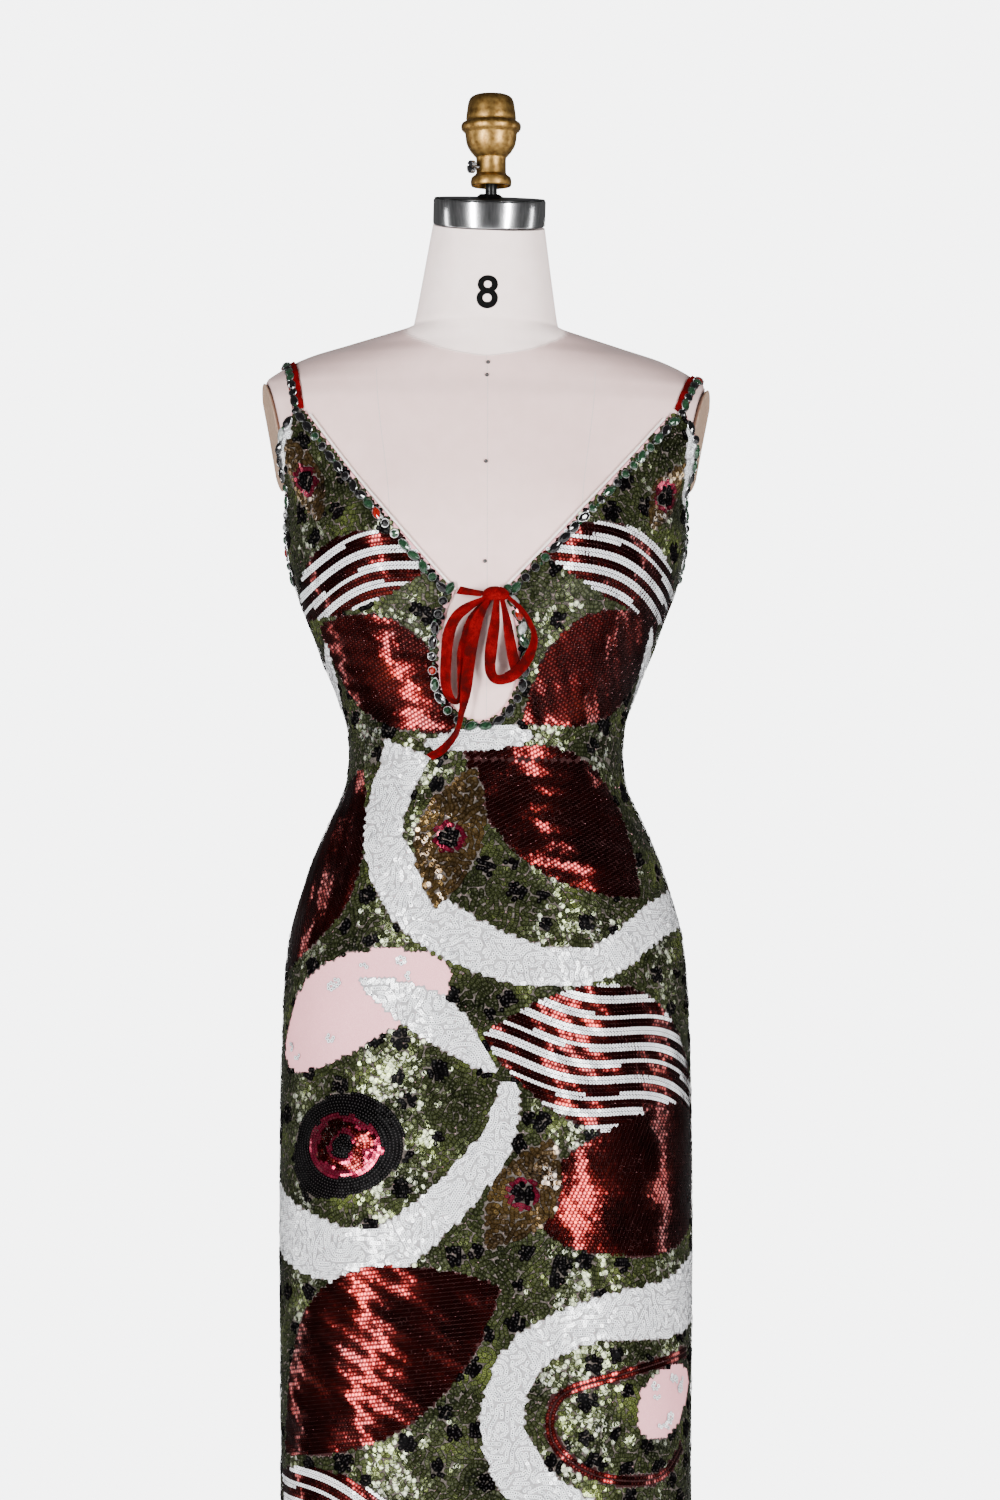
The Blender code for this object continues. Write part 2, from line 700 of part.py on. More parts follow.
def add_binding(name, sign, material):
    """The thin rolled edge of the V, just inside the cloth's cut edge."""
    low, high = KEYHOLE_TOP_Z + BINDING_FOOT, CUP_TOP_Z - BINDING_HEAD
    middle = CLOTH_WALL / 2
    edge = []
    for step in range(BINDING_STEPS + 1):
        z = low + (high - low) * step / BINDING_STEPS
        x = opening_shift(z) + sign * neckline_half(z, sign)
        section = cloth_section(z)
        edge.append(surface_point(section, front_angle_at_x(section, x), z, middle))
    rings = []
    for point, tangent in zip(edge, path_frames(edge)):
        normal = form_normal(point)
        away = tangent.cross(normal).normalized() * sign
        if away.x * sign > 0:
            away = -away
        centre = point + away * (BINDING_RADIUS + SEAM_GAP)
        ring = []
        for corner in range(6):
            turn = math.radians(60 * corner)
            ring.append(centre + (away * math.cos(turn) + normal * math.sin(turn)) * BINDING_RADIUS)
        rings.append(ring)
    add_rings(name, rings, material)


def cloth_front_point(x, z, out):
    """A point a distance in front of the cloth's outside, or of where it would be in the opening."""
    section = cloth_section(z)
    point = surface_point(section, front_angle_at_x(section, x), z, CLOTH_WALL)
    return point + Vector((0.0, -out, 0.0))


def add_ribbon(name, rows, material):
    """A flat strip along a strand's rows, turned about its own length."""
    numbered = [(float(index), *row) for index, row in enumerate(rows)]
    count = (len(rows) - 1) * RIBBON_STEPS
    points = []
    sizes = []
    for step in range(count + 1):
        x, z, out, width, turn = smooth_row(numbered, step / RIBBON_STEPS)
        points.append(cloth_front_point(x / 1000, z / 1000, out / 1000))
        sizes.append((width / 1000, math.radians(turn)))
    rings = []
    for point, tangent, (width, turn) in zip(points, path_frames(points), sizes):
        facing = Vector((0.0, -1.0, 0.0))
        across = tangent.cross(facing).normalized()
        facing = across.cross(tangent).normalized()
        side = (across * math.cos(turn) + facing * math.sin(turn)) * (width / 2)
        depth = side.cross(tangent).normalized() * (RIBBON_THICK / 2)
        rings.append([point - side - depth, point + side - depth, point + side + depth,
                      point - side + depth])
    add_rings(name, rings, material, 60.0)


def add_knot(material):
    """A small pillow of folded ribbon, with shallow grooves between its folds."""
    x, z, out = KNOT_CENTRE
    centre = cloth_front_point(x, z, out)
    rings = []
    along, around = KNOT_STEPS
    taper, loss = KNOT_TAPER
    folds, depth = KNOT_FOLDS
    for step in range(along + 1):
        t = -1 + 2 * step / along
        size = 1 - loss * abs(t) ** taper
        arch = KNOT_ARCH * (1 - t * t)
        ring = []
        for corner in range(around):
            turn = 2 * math.pi * corner / around
            swell = size * (1 + depth * math.cos(folds * turn))
            across = -KNOT_HALF[2] * power(math.sin(turn), KNOT_ROUND) * swell
            up = KNOT_HALF[1] * power(math.cos(turn), KNOT_ROUND) * swell + arch
            ring.append(centre + Vector((KNOT_HALF[0] * t, across, up)))
        rings.append(ring)
    add_rings("ribbon_knot", rings, material)


# ---------------------------------------------------------------- the form
def arm_cut(z):
    return ARM_CUT_X + ARM_CUT_SLOPE * (z - ARM_CUT_Z)


def tilt_neck(point):
    """The neck's rings lean to one side and tip forwards towards the top."""
    share = smooth_share(point.z, NECK_BEND_Z, NECK_TOP_Z)
    lean = NECK_LEAN * max(point.z - NECK_BEND_Z, 0.0)
    drop = point.y * math.tan(NECK_PITCH) - point.x * math.tan(NECK_ROLL)
    return Vector((point.x + lean, point.y, point.z + drop * share))


def add_torso(material):
    rings = []
    for z in TORSO_ROWS:
        section = form_section(z)
        ring = []
        for step in range(TORSO_SEGMENTS):
            point = surface_point(section, 2 * math.pi * step / TORSO_SEGMENTS, z)
            limit = arm_cut(point.z)
            point.x = min(max(point.x, -limit), limit)
            ring.append(tilt_neck(point))
        rings.append(ring)
    add_rings("form_torso", rings, material, 40.0)


def turned_mesh(name, profile, segments):
    """A solid of revolution about Z through radius and height rows, closed on the axis."""
    shape = bmesh.new()
    rows = [(0.0, profile[0][1]), *profile, (0.0, profile[-1][1])]
    line = [shape.verts.new((radius, 0.0, height)) for radius, height in rows]
    edges = [shape.edges.new(pair) for pair in zip(line, line[1:])]
    bmesh.ops.spin(
        shape, geom=line + edges, cent=(0, 0, 0), axis=(0, 0, 1),
        angle=2 * math.pi, steps=segments, use_merge=True,
    )
    bmesh.ops.remove_doubles(shape, verts=shape.verts, dist=0.00001)
    bmesh.ops.recalc_face_normals(shape, faces=shape.faces)
    mesh = bpy.data.meshes.new(name)
    shape.to_mesh(mesh)
    shape.free()
    return mesh


def rounded_disc(radius, thickness, edge):
    """Profile of a disc with its corners cut off."""
    return (
        (radius - edge, 0.0), (radius, edge), (radius, thickness - edge),
        (radius - edge, thickness),
    )


def add_arm_plate(name, sign, material):
    """An oval plate on the slanted end of a shoulder."""
    rim = 1.0 - ARM_PLATE_EDGE / ARM_PLATE_HEIGHT
    profile = ((1.0, 0.0), (1.0, ARM_PLATE_THICK - ARM_PLATE_EDGE), (rim, ARM_PLATE_THICK))
    mesh = turned_mesh(name, profile, ROUND_SEGMENTS)
    mesh.transform(Matrix.Diagonal((ARM_PLATE_DEPTH, ARM_PLATE_HEIGHT, 1.0, 1.0)))
    outward = Vector((sign, 0.0, -ARM_CUT_SLOPE)).normalized()
    height = ARM_PLATE_Z - shoulder_drop(sign * ARM_CUT_X, ARM_PLATE_Z)
    middle = Vector((sign * arm_cut(height), 0.0, height))
    turn = outward.to_track_quat("Z", "Y").to_matrix().to_4x4()
    plate = add_object(name, mesh, material)
    plate.matrix_world = Matrix.Translation(middle + outward * SEAM_GAP) @ turn


def neck_matrix(height):
    """Place and tilt of a ring a distance up the neck's tipped axis from its top face."""
    origin = Vector((NECK_LEAN * (NECK_TOP_Z - NECK_BEND_Z), 0.0, NECK_TOP_Z))
    normal = Vector((math.tan(NECK_ROLL), -math.tan(NECK_PITCH), 1.0)).normalized()
    turn = Vector((0.0, 0.0, 1.0)).rotation_difference(normal).to_matrix().to_4x4()
    return Matrix.Translation(origin + normal * height) @ turn


def add_neck(materials):
    band = turned_mesh("neck_band", rounded_disc(BAND_RADIUS, BAND_HEIGHT, BAND_EDGE), NECK_SEGMENTS)
    add_object("neck_band", band, materials["steel"]).matrix_world = neck_matrix(SEAM_GAP)
    boss = tuple((radius, CAP_THICK + rise) for radius, rise in CAP_BOSS)
    plate = rounded_disc(CAP_RADIUS, CAP_THICK, CAP_EDGE)
    cap = turned_mesh("neck_cap", plate + boss, NECK_SEGMENTS)
    place = neck_matrix(BAND_HEIGHT + 2 * SEAM_GAP)
    add_object("neck_cap", cap, materials["black"]).matrix_world = place
    seat = place @ Vector((0.0, 0.0, CAP_THICK + CAP_BOSS[-1][1] + SEAM_GAP))
    axis = Vector((FINIAL_X, seat.y, FINIAL_Z))
    add_rod(axis, seat, place.to_3x3() @ Vector((0.0, 0.0, 1.0)), materials["black"])
    finial = turned_mesh("finial", FINIAL_PROFILE, ROUND_SEGMENTS)
    add_object("finial", finial, materials["brass"], 50.0).location = axis
    add_set_screw(axis + Vector((0.0, 0.0, SCREW_Z)), materials["screw"])


def add_rod(axis, seat, tipped, material):
    """An upright rod between the tipped cap and the finial's underside."""
    foot = []
    top = []
    for step in range(ROUND_SEGMENTS):
        turn = 2 * math.pi * step / ROUND_SEGMENTS
        x = axis.x + ROD_RADIUS * math.cos(turn)
        y = axis.y + ROD_RADIUS * math.sin(turn)
        slope = ((x - seat.x) * tipped.x + (y - seat.y) * tipped.y) / tipped.z
        foot.append(Vector((x, y, seat.z - slope)))
        top.append(Vector((x, y, axis.z - SEAM_GAP)))
    add_rings("finial_rod", [foot, top], material)


def add_set_screw(axis_point, material):
    """A slotted screw head on the finial's collar."""
    profile = rounded_disc(SCREW_RADIUS, SCREW_HEAD, SCREW_EDGE)
    mesh = turned_mesh("set_screw", profile, SCREW_SEGMENTS)
    slot = bpy.data.meshes.new("slot")
    width, depth = SCREW_SLOT
    shape = bmesh.new()
    bmesh.ops.create_cube(shape, size=1.0, matrix=Matrix.Translation((0, 0, SCREW_HEAD))
                          @ Matrix.Diagonal((width, 3 * SCREW_RADIUS, 2 * depth, 1.0)))
    shape.to_mesh(slot)
    shape.free()
    cutter = bpy.data.objects.new("slot_cutter", slot)
    bpy.context.scene.collection.objects.link(cutter)
    cutter.hide_render = True
    cutter.display_type = "WIRE"
    head = add_object("set_screw", mesh, material)
    outward = Vector((math.cos(SCREW_ANGLE), math.sin(SCREW_ANGLE), 0.0))
    turn = outward.to_track_quat("Z", "Y").to_matrix().to_4x4()
    place = Matrix.Translation(axis_point + outward * (COLLAR_RADIUS + SEAM_GAP)) @ turn
    head.matrix_world = place
    cutter.matrix_world = place @ Matrix.Rotation(SCREW_TURN, 4, "Z")
    cut = head.modifiers.new("slot", "BOOLEAN")
    cut.operation = "DIFFERENCE"
    cut.object = cutter


# ---------------------------------------------------------------- the stand
def add_stand(material):
    plate = rounded_disc(BASE_RADIUS, BASE_THICK, BASE_EDGE)
    add_object("stand_base", turned_mesh("stand_base", plate, BASE_SEGMENTS), material)
    socket_foot = BASE_THICK + SEAM_GAP
    outline = (
        (SOCKET_FOOT[0], 0.0), SOCKET_FOOT, SOCKET_NECK, (SOCKET_NECK[0], SOCKET_HEIGHT),
    )
    socket = turned_mesh("stand_socket", outline, ROUND_SEGMENTS)
    add_object("stand_socket", socket, material).location.z = socket_foot
    pole_foot = socket_foot + SOCKET_HEIGHT + SEAM_GAP
    flange_foot = FORM_BOTTOM_Z - SEAM_GAP - FLANGE_THICK
    outline = ((POLE_RADIUS, 0.0), (POLE_RADIUS, flange_foot - SEAM_GAP - pole_foot))
    pole = turned_mesh("stand_pole", outline, ROUND_SEGMENTS)
    add_object("stand_pole", pole, material).location.z = pole_foot
    disc = rounded_disc(FLANGE_RADIUS, FLANGE_THICK, FLANGE_EDGE)
    flange = turned_mesh("form_flange", disc, ROUND_SEGMENTS)
    add_object("form_flange", flange, material).location.z = flange_foot


def main():
    clear_scene()
    materials = make_materials()
    add_torso(materials["linen"])
    for side, sign in (("left", -1), ("right", 1)):
        add_arm_plate("arm_plate_" + side, sign, materials["plate"])
        add_strap("strap_" + side, sign, materials["velvet"])
        add_binding("neckline_binding_" + side, sign, materials["piping"])
    add_bodice_front(materials["sequins"])
    add_bodice_back(materials["sequins"])
    add_skirt(materials["sequins"])
    for name, rows in RIBBON_STRANDS.items():
        add_ribbon(name, rows, materials["velvet"])
    add_knot(materials["velvet"])
    add_neck(materials)
    add_stand(materials["stand"])


main()
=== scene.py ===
import math

import bmesh
import bpy
import numpy as np
from mathutils import Matrix, Vector


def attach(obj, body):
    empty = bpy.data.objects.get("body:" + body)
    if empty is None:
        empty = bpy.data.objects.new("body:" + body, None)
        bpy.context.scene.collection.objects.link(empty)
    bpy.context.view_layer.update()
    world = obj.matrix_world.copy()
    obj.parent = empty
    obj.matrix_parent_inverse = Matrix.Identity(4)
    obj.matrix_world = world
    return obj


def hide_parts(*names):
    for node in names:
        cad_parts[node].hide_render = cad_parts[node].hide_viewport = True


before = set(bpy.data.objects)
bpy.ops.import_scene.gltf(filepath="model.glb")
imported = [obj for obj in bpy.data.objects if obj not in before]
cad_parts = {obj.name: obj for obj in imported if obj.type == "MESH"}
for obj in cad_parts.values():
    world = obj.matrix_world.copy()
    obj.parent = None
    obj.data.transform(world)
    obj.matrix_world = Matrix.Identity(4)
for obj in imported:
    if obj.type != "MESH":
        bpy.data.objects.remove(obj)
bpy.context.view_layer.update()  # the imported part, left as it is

dice = np.random.default_rng(41)
print("frame loaded:", len(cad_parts), "nodes")

# camera first, at the photograph's angle
photoCamera = {
    "place": (0.0124, -5.0, 0.80),
    "tiltUp": 3.357,  # degrees above level
    "lens": 135.84,
    "sensor": 36.0,
}


def newObject(name, data):
    piece = bpy.data.objects.new(name, data)
    bpy.context.scene.collection.objects.link(piece)
    return piece


def addCamera():
    lens = bpy.data.cameras.new("photoCamera")
    lens.lens = photoCamera["lens"]
    lens.sensor_width = photoCamera["sensor"]
    lens.clip_end = 60
    camera = newObject("photoCamera", lens)
    camera.location = photoCamera["place"]
    camera.rotation_euler = (math.radians(90 + photoCamera["tiltUp"]), 0, 0)
    bpy.context.scene.camera = camera


addCamera()

# the form and the cloth over it, metres: the same named sizes and short tables as the solids
body = {
    # height, half width, front depth, back depth, squareness
    "sections": (
        (0.760, 0.1560, 0.0980, 0.1120, 2.15),
        (0.800, 0.1680, 0.1055, 0.1225, 2.15),
        (0.840, 0.1745, 0.1095, 0.1290, 2.15),
        (0.865, 0.1755, 0.1105, 0.1305, 2.15),
        (0.905, 0.1728, 0.1095, 0.1295, 2.15),
        (0.930, 0.1695, 0.1075, 0.1260, 2.15),
        (0.960, 0.1615, 0.1035, 0.1190, 2.12),
        (0.996, 0.1498, 0.0985, 0.1080, 2.10),
        (1.031, 0.1344, 0.0930, 0.0945, 2.08),
        (1.060, 0.1215, 0.0895, 0.0845, 2.06),
        (1.084, 0.1180, 0.0880, 0.0800, 2.06),
        (1.110, 0.1195, 0.0890, 0.0800, 2.08),
        (1.138, 0.1280, 0.0930, 0.0835, 2.12),
        (1.173, 0.1422, 0.1005, 0.0890, 2.16),
        (1.209, 0.1556, 0.1085, 0.0945, 2.22),
        (1.244, 0.1680, 0.1150, 0.0985, 2.28),
        (1.280, 0.1745, 0.1170, 0.1020, 2.30),
        (1.312, 0.1765, 0.1125, 0.1045, 2.30),
        (1.340, 0.1900, 0.1045, 0.1060, 2.30),
        (1.370, 0.2030, 0.0940, 0.1060, 2.30),
        (1.400, 0.2050, 0.0825, 0.1030, 2.30),
        (1.4165, 0.1990, 0.0745, 0.0980, 2.25),
        (1.4300, 0.1820, 0.0690, 0.0920, 2.10),
        (1.4420, 0.1580, 0.0645, 0.0850, 1.85),
        (1.4530, 0.1230, 0.0610, 0.0780, 1.60),
        (1.4640, 0.0850, 0.0580, 0.0700, 1.70),
        (1.4680, 0.0705, 0.0570, 0.0668, 1.85),
        (1.4708, 0.0645, 0.0562, 0.0646, 1.95),
        (1.4760, 0.0632, 0.0556, 0.0634, 2.00),
        (1.5000, 0.0592, 0.0530, 0.0585, 2.00),
        (1.5300, 0.0545, 0.0510, 0.0535, 2.00),
        (1.5605, 0.0498, 0.0495, 0.0500, 2.00),
    ),
    # height, then what the free skirt adds to half width, front and back
    "skirtDrift": (
        (0.865, 0.0000, 0.0000, 0.0000),
        (0.780, 0.0025, 0.0030, -0.0010),
        (0.690, 0.0030, 0.0050, -0.0030),
        (0.430, 0.0012, 0.0060, -0.0060),
        (0.032, 0.0010, 0.0060, -0.0080),
    ),
    "swell": (0.0105, 0.083, 1.286, 0.046, 0.052),  # rise, across, height, wide, tall
    "hip": 0.865, "waist": 1.080, "hem": 0.032, "sideTop": 1.248, "cupTop": 1.388,
    "clear": 0.0014, "wall": 0.0017,
    "drop": (0.006, 1.30, 1.42, 0.20),  # right shoulder: fall, foot, top, across
    "armCut": (0.1852, 1.368, 0.18, 0.13, 0.03),  # across, height, slope, turn to the front and its end
    "neck": (1.475, 1.5605, 0.03, 13.0, 1.4),  # bend, top, lean, pitch, roll
    "bottom": 0.760,
}
opening = {
    "shift": -0.006, "low": 1.1138, "middle": 1.165, "top": 1.2236,
    "half": 0.0345, "rise": 0.073, "bow": 0.005,
    "cupInner": {-1: 0.158, 1: 0.161}, "cupOuter": {-1: 0.170, 1: 0.177},
    "armholePower": 1.35,
}
bothSides = (("left", -1), ("right", 1))  # name, and the sign of x there
arcRadius = 0.15  # about the body's own radius: cloth per radian of turn


def limitedSlope(before, here, after, column):
    if before is here or here is after:
        other = after if before is here else before
        return (other[column] - here[column]) / (other[0] - here[0])
    left = (here[column] - before[column]) / (here[0] - before[0])
    right = (after[column] - here[column]) / (after[0] - here[0])
    return 0.0 if left * right <= 0 else 2 * left * right / (left + right)


def smoothRow(rows, place):
    last = len(rows) - 1
    rising = rows[last][0] > rows[0][0]
    index = 0
    while index < last - 1 and (place > rows[index + 1][0]) == rising:
        index += 1
    low, high = rows[index], rows[index + 1]
    before, after = rows[max(index - 1, 0)], rows[min(index + 2, last)]
    span = high[0] - low[0]
    t = min(max((place - low[0]) / span, 0.0), 1.0)
    values = []
    for column in range(1, len(low)):
        chord = high[column] - low[column]
        start = limitedSlope(before, low, high, column) * span
        end = limitedSlope(low, high, after, column) * span
        values.append(low[column] + start * t + (3 * chord - 2 * start - end) * t * t
                      + (start + end - 2 * chord) * t ** 3)
    return values


levels = np.linspace(0.02, 1.5605, 1541)  # read-off heights, 1 mm apart


def sectionTables():
    form, cloth = [], []
    for z in levels:
        form.append(smoothRow(body["sections"], z))
        row = smoothRow(body["sections"], max(z, body["hip"]))
        drift = smoothRow(body["skirtDrift"], z) if z < body["hip"] else (0, 0, 0)
        for column in range(3):
            row[column] += body["clear"] + drift[column]
        cloth.append(row)
    return {"form": np.array(form).T, "cloth": np.array(cloth).T}


tables = sectionTables()


def sectionAt(z, kind):
    return [np.interp(z, levels, column) for column in tables[kind]]


def signedPower(value, exponent):
    return np.sign(value) * np.abs(value) ** exponent


def chestSwell(x, z):
    rise, across, height, wide, tall = body["swell"]
    return rise * np.exp(-((np.abs(x) - across) / wide) ** 2 - ((z - height) / tall) ** 2)


def smoothShare(value, low, high):
    t = np.clip((value - low) / (high - low), 0, 1)
    return t * t * (3 - 2 * t)


def shoulderDrop(x, z):
    fall, foot, top, across = body["drop"]
    return fall * np.maximum(x, 0) / across * smoothShare(z, foot, top)


def roundPoint(turn, z, out=0.0, kind="cloth"):
    # turn 0 is the centre front, growing towards the viewer's right
    turn, z = np.broadcast_arrays(np.asarray(turn, float), np.asarray(z, float))
    half, front, back, square = sectionAt(z, kind)
    away, side = -np.cos(turn), np.sin(turn)
    depth = np.where(away < 0, front, back)
    x = (half + out) * signedPower(side, 2 / square)
    y = (depth + out) * signedPower(away, 2 / square)
    y = np.where(y < 0, y - chestSwell(x, z), y)
    return np.stack([x, y, z - shoulderDrop(x, z)], -1)


def turnAtX(x, z, out=0.0, kind="cloth"):
    half, _, _, square = sectionAt(z, kind)
    ratio = np.clip(x / (half + out), -1, 1)
    return np.pi / 2 - np.arccos(signedPower(ratio, square / 2))


def outwardness(points, kind):
    x, y, z = points[..., 0], points[..., 1], points[..., 2]
    z = z + shoulderDrop(x, z + shoulderDrop(x, z))
    half, front, back, square = sectionAt(z, kind)
    depth = np.where(y > 0, back, front + chestSwell(x, z))
    return np.abs(x / half) ** square + np.abs(y / depth) ** square - 1


def outwardNormal(points, kind="cloth"):
    slope = np.zeros(points.shape)
    for axis in range(3):
        step = np.zeros(3)
        step[axis] = 0.0004
        slope[..., axis] = outwardness(points + step, kind) - outwardness(points - step, kind)
    return unit(slope)


def unit(vectors):
    return vectors / np.maximum(np.linalg.norm(vectors, axis=-1, keepdims=True), 1e-12)


def lengthAlong(path):
    return np.concatenate([[0], np.cumsum(np.linalg.norm(np.diff(path, axis=0), axis=1))])


def readRows(rows, places, wanted):
    # every column of a table, read between its rows at the wanted places
    return np.stack([np.interp(wanted, places, column) for column in np.transpose(rows)], 1)


# flat cloth map: s runs round the body from the centre front, z is the height
flatMap = {"sLimit": 0.52, "sSteps": 1041, "turnSteps": 1441, "zLow": 0.03, "zHigh": 1.40, "zSteps": 275}
flatHeights = np.linspace(flatMap["zLow"], flatMap["zHigh"], flatMap["zSteps"])
flatAcross = np.linspace(-flatMap["sLimit"], flatMap["sLimit"], flatMap["sSteps"])


def makeFlatMap():
    turns = np.linspace(-np.pi, np.pi, flatMap["turnSteps"])
    middle = flatMap["turnSteps"] // 2
    sides, backs, grid = [], [], []
    for z in flatHeights:
        points = roundPoint(turns, z)
        travelled = lengthAlong(points)
        travelled -= travelled[middle]
        grid.append(np.interp(flatAcross, travelled, turns))
        sides.append(np.interp(np.pi / 2, turns, travelled))
        backs.append(travelled[-1])
    return np.array(grid), np.array(sides), np.array(backs)


turnGrid, sideSeam, backSeam = makeFlatMap()


def turnAt(s, z):
    row = np.clip((z - flatHeights[0]) / (flatHeights[1] - flatHeights[0]), 0, len(flatHeights) - 1.001)
    column = np.clip((s - flatAcross[0]) / (flatAcross[1] - flatAcross[0]), 0, len(flatAcross) - 1.001)
    low, left = row.astype(int), column.astype(int)
    up, right = row - low, column - left
    return (turnGrid[low, left] * (1 - up) * (1 - right) + turnGrid[low + 1, left] * up * (1 - right)
            + turnGrid[low, left + 1] * (1 - up) * right + turnGrid[low + 1, left + 1] * up * right)


def clothPoint(s, z, out=0.0):
    return roundPoint(turnAt(s, z), z, out)


def openingShift(z):
    fade = (body["cupTop"] - z) / (body["cupTop"] - opening["top"])
    return opening["shift"] * np.clip(fade, 0, 1)


def necklineHalf(z, sign):
    t = np.clip((z - opening["top"]) / (body["cupTop"] - opening["top"]), 0, 1)
    start = opening["half"] * math.sqrt(1 - ((opening["top"] - opening["middle"]) / opening["rise"]) ** 2)
    return start + (opening["cupInner"][sign] - start) * t + opening["bow"] * np.sin(np.pi * t)


def keyholeHalf(z):
    reach = np.where(z > opening["middle"], opening["rise"], opening["middle"] - opening["low"])
    return opening["half"] * np.sqrt(np.clip(1 - ((z - opening["middle"]) / reach) ** 2, 0, 1))


def armholeTurn(z, sign):
    # how far the armhole's edge lies in front of the side seam
    top = np.pi / 2 - turnAtX(opening["cupOuter"][sign], body["cupTop"], body["wall"])
    share = np.clip((z - body["sideTop"]) / (body["cupTop"] - body["sideTop"]), 0, 1)
    return top * share ** opening["armholePower"]


print("cloth map ready")


# finishes of the cloth, the form and its fittings, each made once and kept by a short name
def startMaterial(name, roughness, metallic=0.0, **fixed):
    material = bpy.data.materials.new(name)
    material.use_nodes = True
    nodes, links = material.node_tree.nodes, material.node_tree.links
    shader = nodes["Principled BSDF"]
    shader.inputs["Roughness"].default_value = roughness
    shader.inputs["Metallic"].default_value = metallic
    for socket, value in fixed.items():
        shader.inputs[socket.replace("_", " ")].default_value = value
    return material, nodes, links, shader


def grey(level):
    return (level, level, level)


def addRamp(nodes, links, source, *stops):
    # colours over a value, each stop a place and a colour
    ramp = nodes.new("ShaderNodeValToRGB")
    marks = ramp.color_ramp.elements
    while len(marks) < len(stops):
        marks.new(0.5)
    for mark, (place, colour) in zip(marks, stops):
        mark.position = place
        mark.color = (*colour, 1)
    links.new(source, ramp.inputs["Fac"])
    return ramp.outputs["Color"]


def addNoise(nodes, links, source, scale, detail=3.0):
    noise = nodes.new("ShaderNodeTexNoise")
    noise.inputs["Scale"].default_value = scale
    noise.inputs["Detail"].default_value = detail
    links.new(source, noise.inputs["Vector"])
    return noise.outputs["Fac"]


def addMix(nodes, links, share, first, second, blend="MIX"):
    mix = nodes.new("ShaderNodeMix")
    mix.data_type = "RGBA"
    mix.blend_type = blend
    for socket, value in ((mix.inputs[0], share), (mix.inputs[6], first), (mix.inputs[7], second)):
        if isinstance(value, bpy.types.NodeSocket):
            links.new(value, socket)
        else:
            socket.default_value = value
    return mix.outputs[2]


def addBump(nodes, links, shader, height, distance, strength=1.0):
    bump = nodes.new("ShaderNodeBump")
    bump.inputs["Distance"].default_value = distance
    bump.inputs["Strength"].default_value = strength
    links.new(height, bump.inputs["Height"])
    links.new(bump.outputs["Normal"], shader.inputs["Normal"])


def readValue(nodes, name):
    # a value that the mesh carries at its points
    reader = nodes.new("ShaderNodeAttribute")
    reader.attribute_name = name
    return reader.outputs["Fac"]


def readUv(nodes, name):
    reader = nodes.new("ShaderNodeUVMap")
    reader.uv_map = name
    return reader.outputs["UV"]


# foil from its darkest to its lightest disc, the hole's colour, and how dark the painted shade at the rim is
sequinLooks = {
    "white": {
        "dark": (0.12, 0.12, 0.14), "middle": (0.88, 0.89, 0.90), "light": (0.97, 0.97, 0.97),
        "hole": (0.07, 0.07, 0.08), "metallic": 0.0, "roughness": 0.22, "coat": 0.5, "rim": 0.85,
        "specular": 0.5, "wider": 0.04,
    },
    "moss": {
        "dark": (0.002, 0.0026, 0.0010), "middle": (0.052, 0.062, 0.022), "light": (0.22, 0.27, 0.060),
        "hole": (0.07, 0.07, 0.05), "metallic": 0.65, "roughness": 0.16, "coat": 0.22, "rim": 0.97,
    },
    "burgundy": {
        "dark": (0.006, 0.0004, 0.0005), "middle": (0.085, 0.0042, 0.0036), "light": (0.22, 0.018, 0.007),
        "hole": (0.13, 0.035, 0.032), "metallic": 1.0, "roughness": 0.17, "coat": 0.04, "rim": 0.97,
    },
    "black": {
        "dark": grey(0.0003), "middle": (0.0008, 0.0006, 0.0008), "light": (0.004, 0.002, 0.003),
        "hole": (0.02, 0.018, 0.018), "metallic": 0.0, "roughness": 0.30, "coat": 0.0, "rim": 0.5,
        "specular": 0.008,
    },
    "bronze": {
        "dark": (0.006, 0.003, 0.0015), "middle": (0.105, 0.060, 0.018), "light": (0.42, 0.27, 0.080),
        "hole": (0.08, 0.06, 0.04), "metallic": 0.75, "roughness": 0.17, "coat": 0.4, "rim": 0.95,
    },
    "rose": {
        "dark": (0.04, 0.0005, 0.004), "middle": (0.26, 0.010, 0.040), "light": (0.60, 0.10, 0.16),
        "hole": (0.12, 0.04, 0.05), "metallic": 0.85, "roughness": 0.17, "coat": 0.1, "rim": 0.9,
    },
}
# the rim mark is where painted shade darkens each disc's edge, standing in for the shadow where discs overlap
discMarks = {"hole": (0.12, 0.18), "rim": (0.27, 0.46)}  # from the middle, in widths of the disc


def sequinMaterial(name):
    look = sequinLooks[name]
    material, nodes, links, shader = startMaterial(
        name + "Sequin", look["roughness"], look["metallic"], Coat_Weight=look["coat"], Coat_Roughness=0.08,
        Specular_IOR_Level=look.get("specular", 0.1))
    foil = addRamp(nodes, links, readValue(nodes, "tone"),
                   (0.0, look["dark"]), (0.5, look["middle"]), (1.0, look["light"]))
    away = nodes.new("ShaderNodeVectorMath")
    away.operation = "DISTANCE"
    away.inputs[1].default_value = (0.5, 0.5, 0)
    links.new(readUv(nodes, "disc"), away.inputs[0])
    apart = away.outputs["Value"]
    holeFrom, holeTo = [mark + look.get("wider", 0.0) for mark in discMarks["hole"]]
    rimFrom, rimTo = discMarks["rim"]
    holeShare = addRamp(nodes, links, apart, (holeFrom, grey(1)), (holeTo, grey(0)))
    # painted shade: each disc darkened towards its rim
    rimShadeShare = addRamp(nodes, links, apart, (rimFrom, grey(0)), (rimTo, grey(look["rim"])))
    rimShaded = addMix(nodes, links, rimShadeShare, foil, (*look["dark"], 1))
    pierced = addMix(nodes, links, holeShare, rimShaded, (*look["hole"], 1))
    links.new(pierced, shader.inputs["Base Color"])
    return material


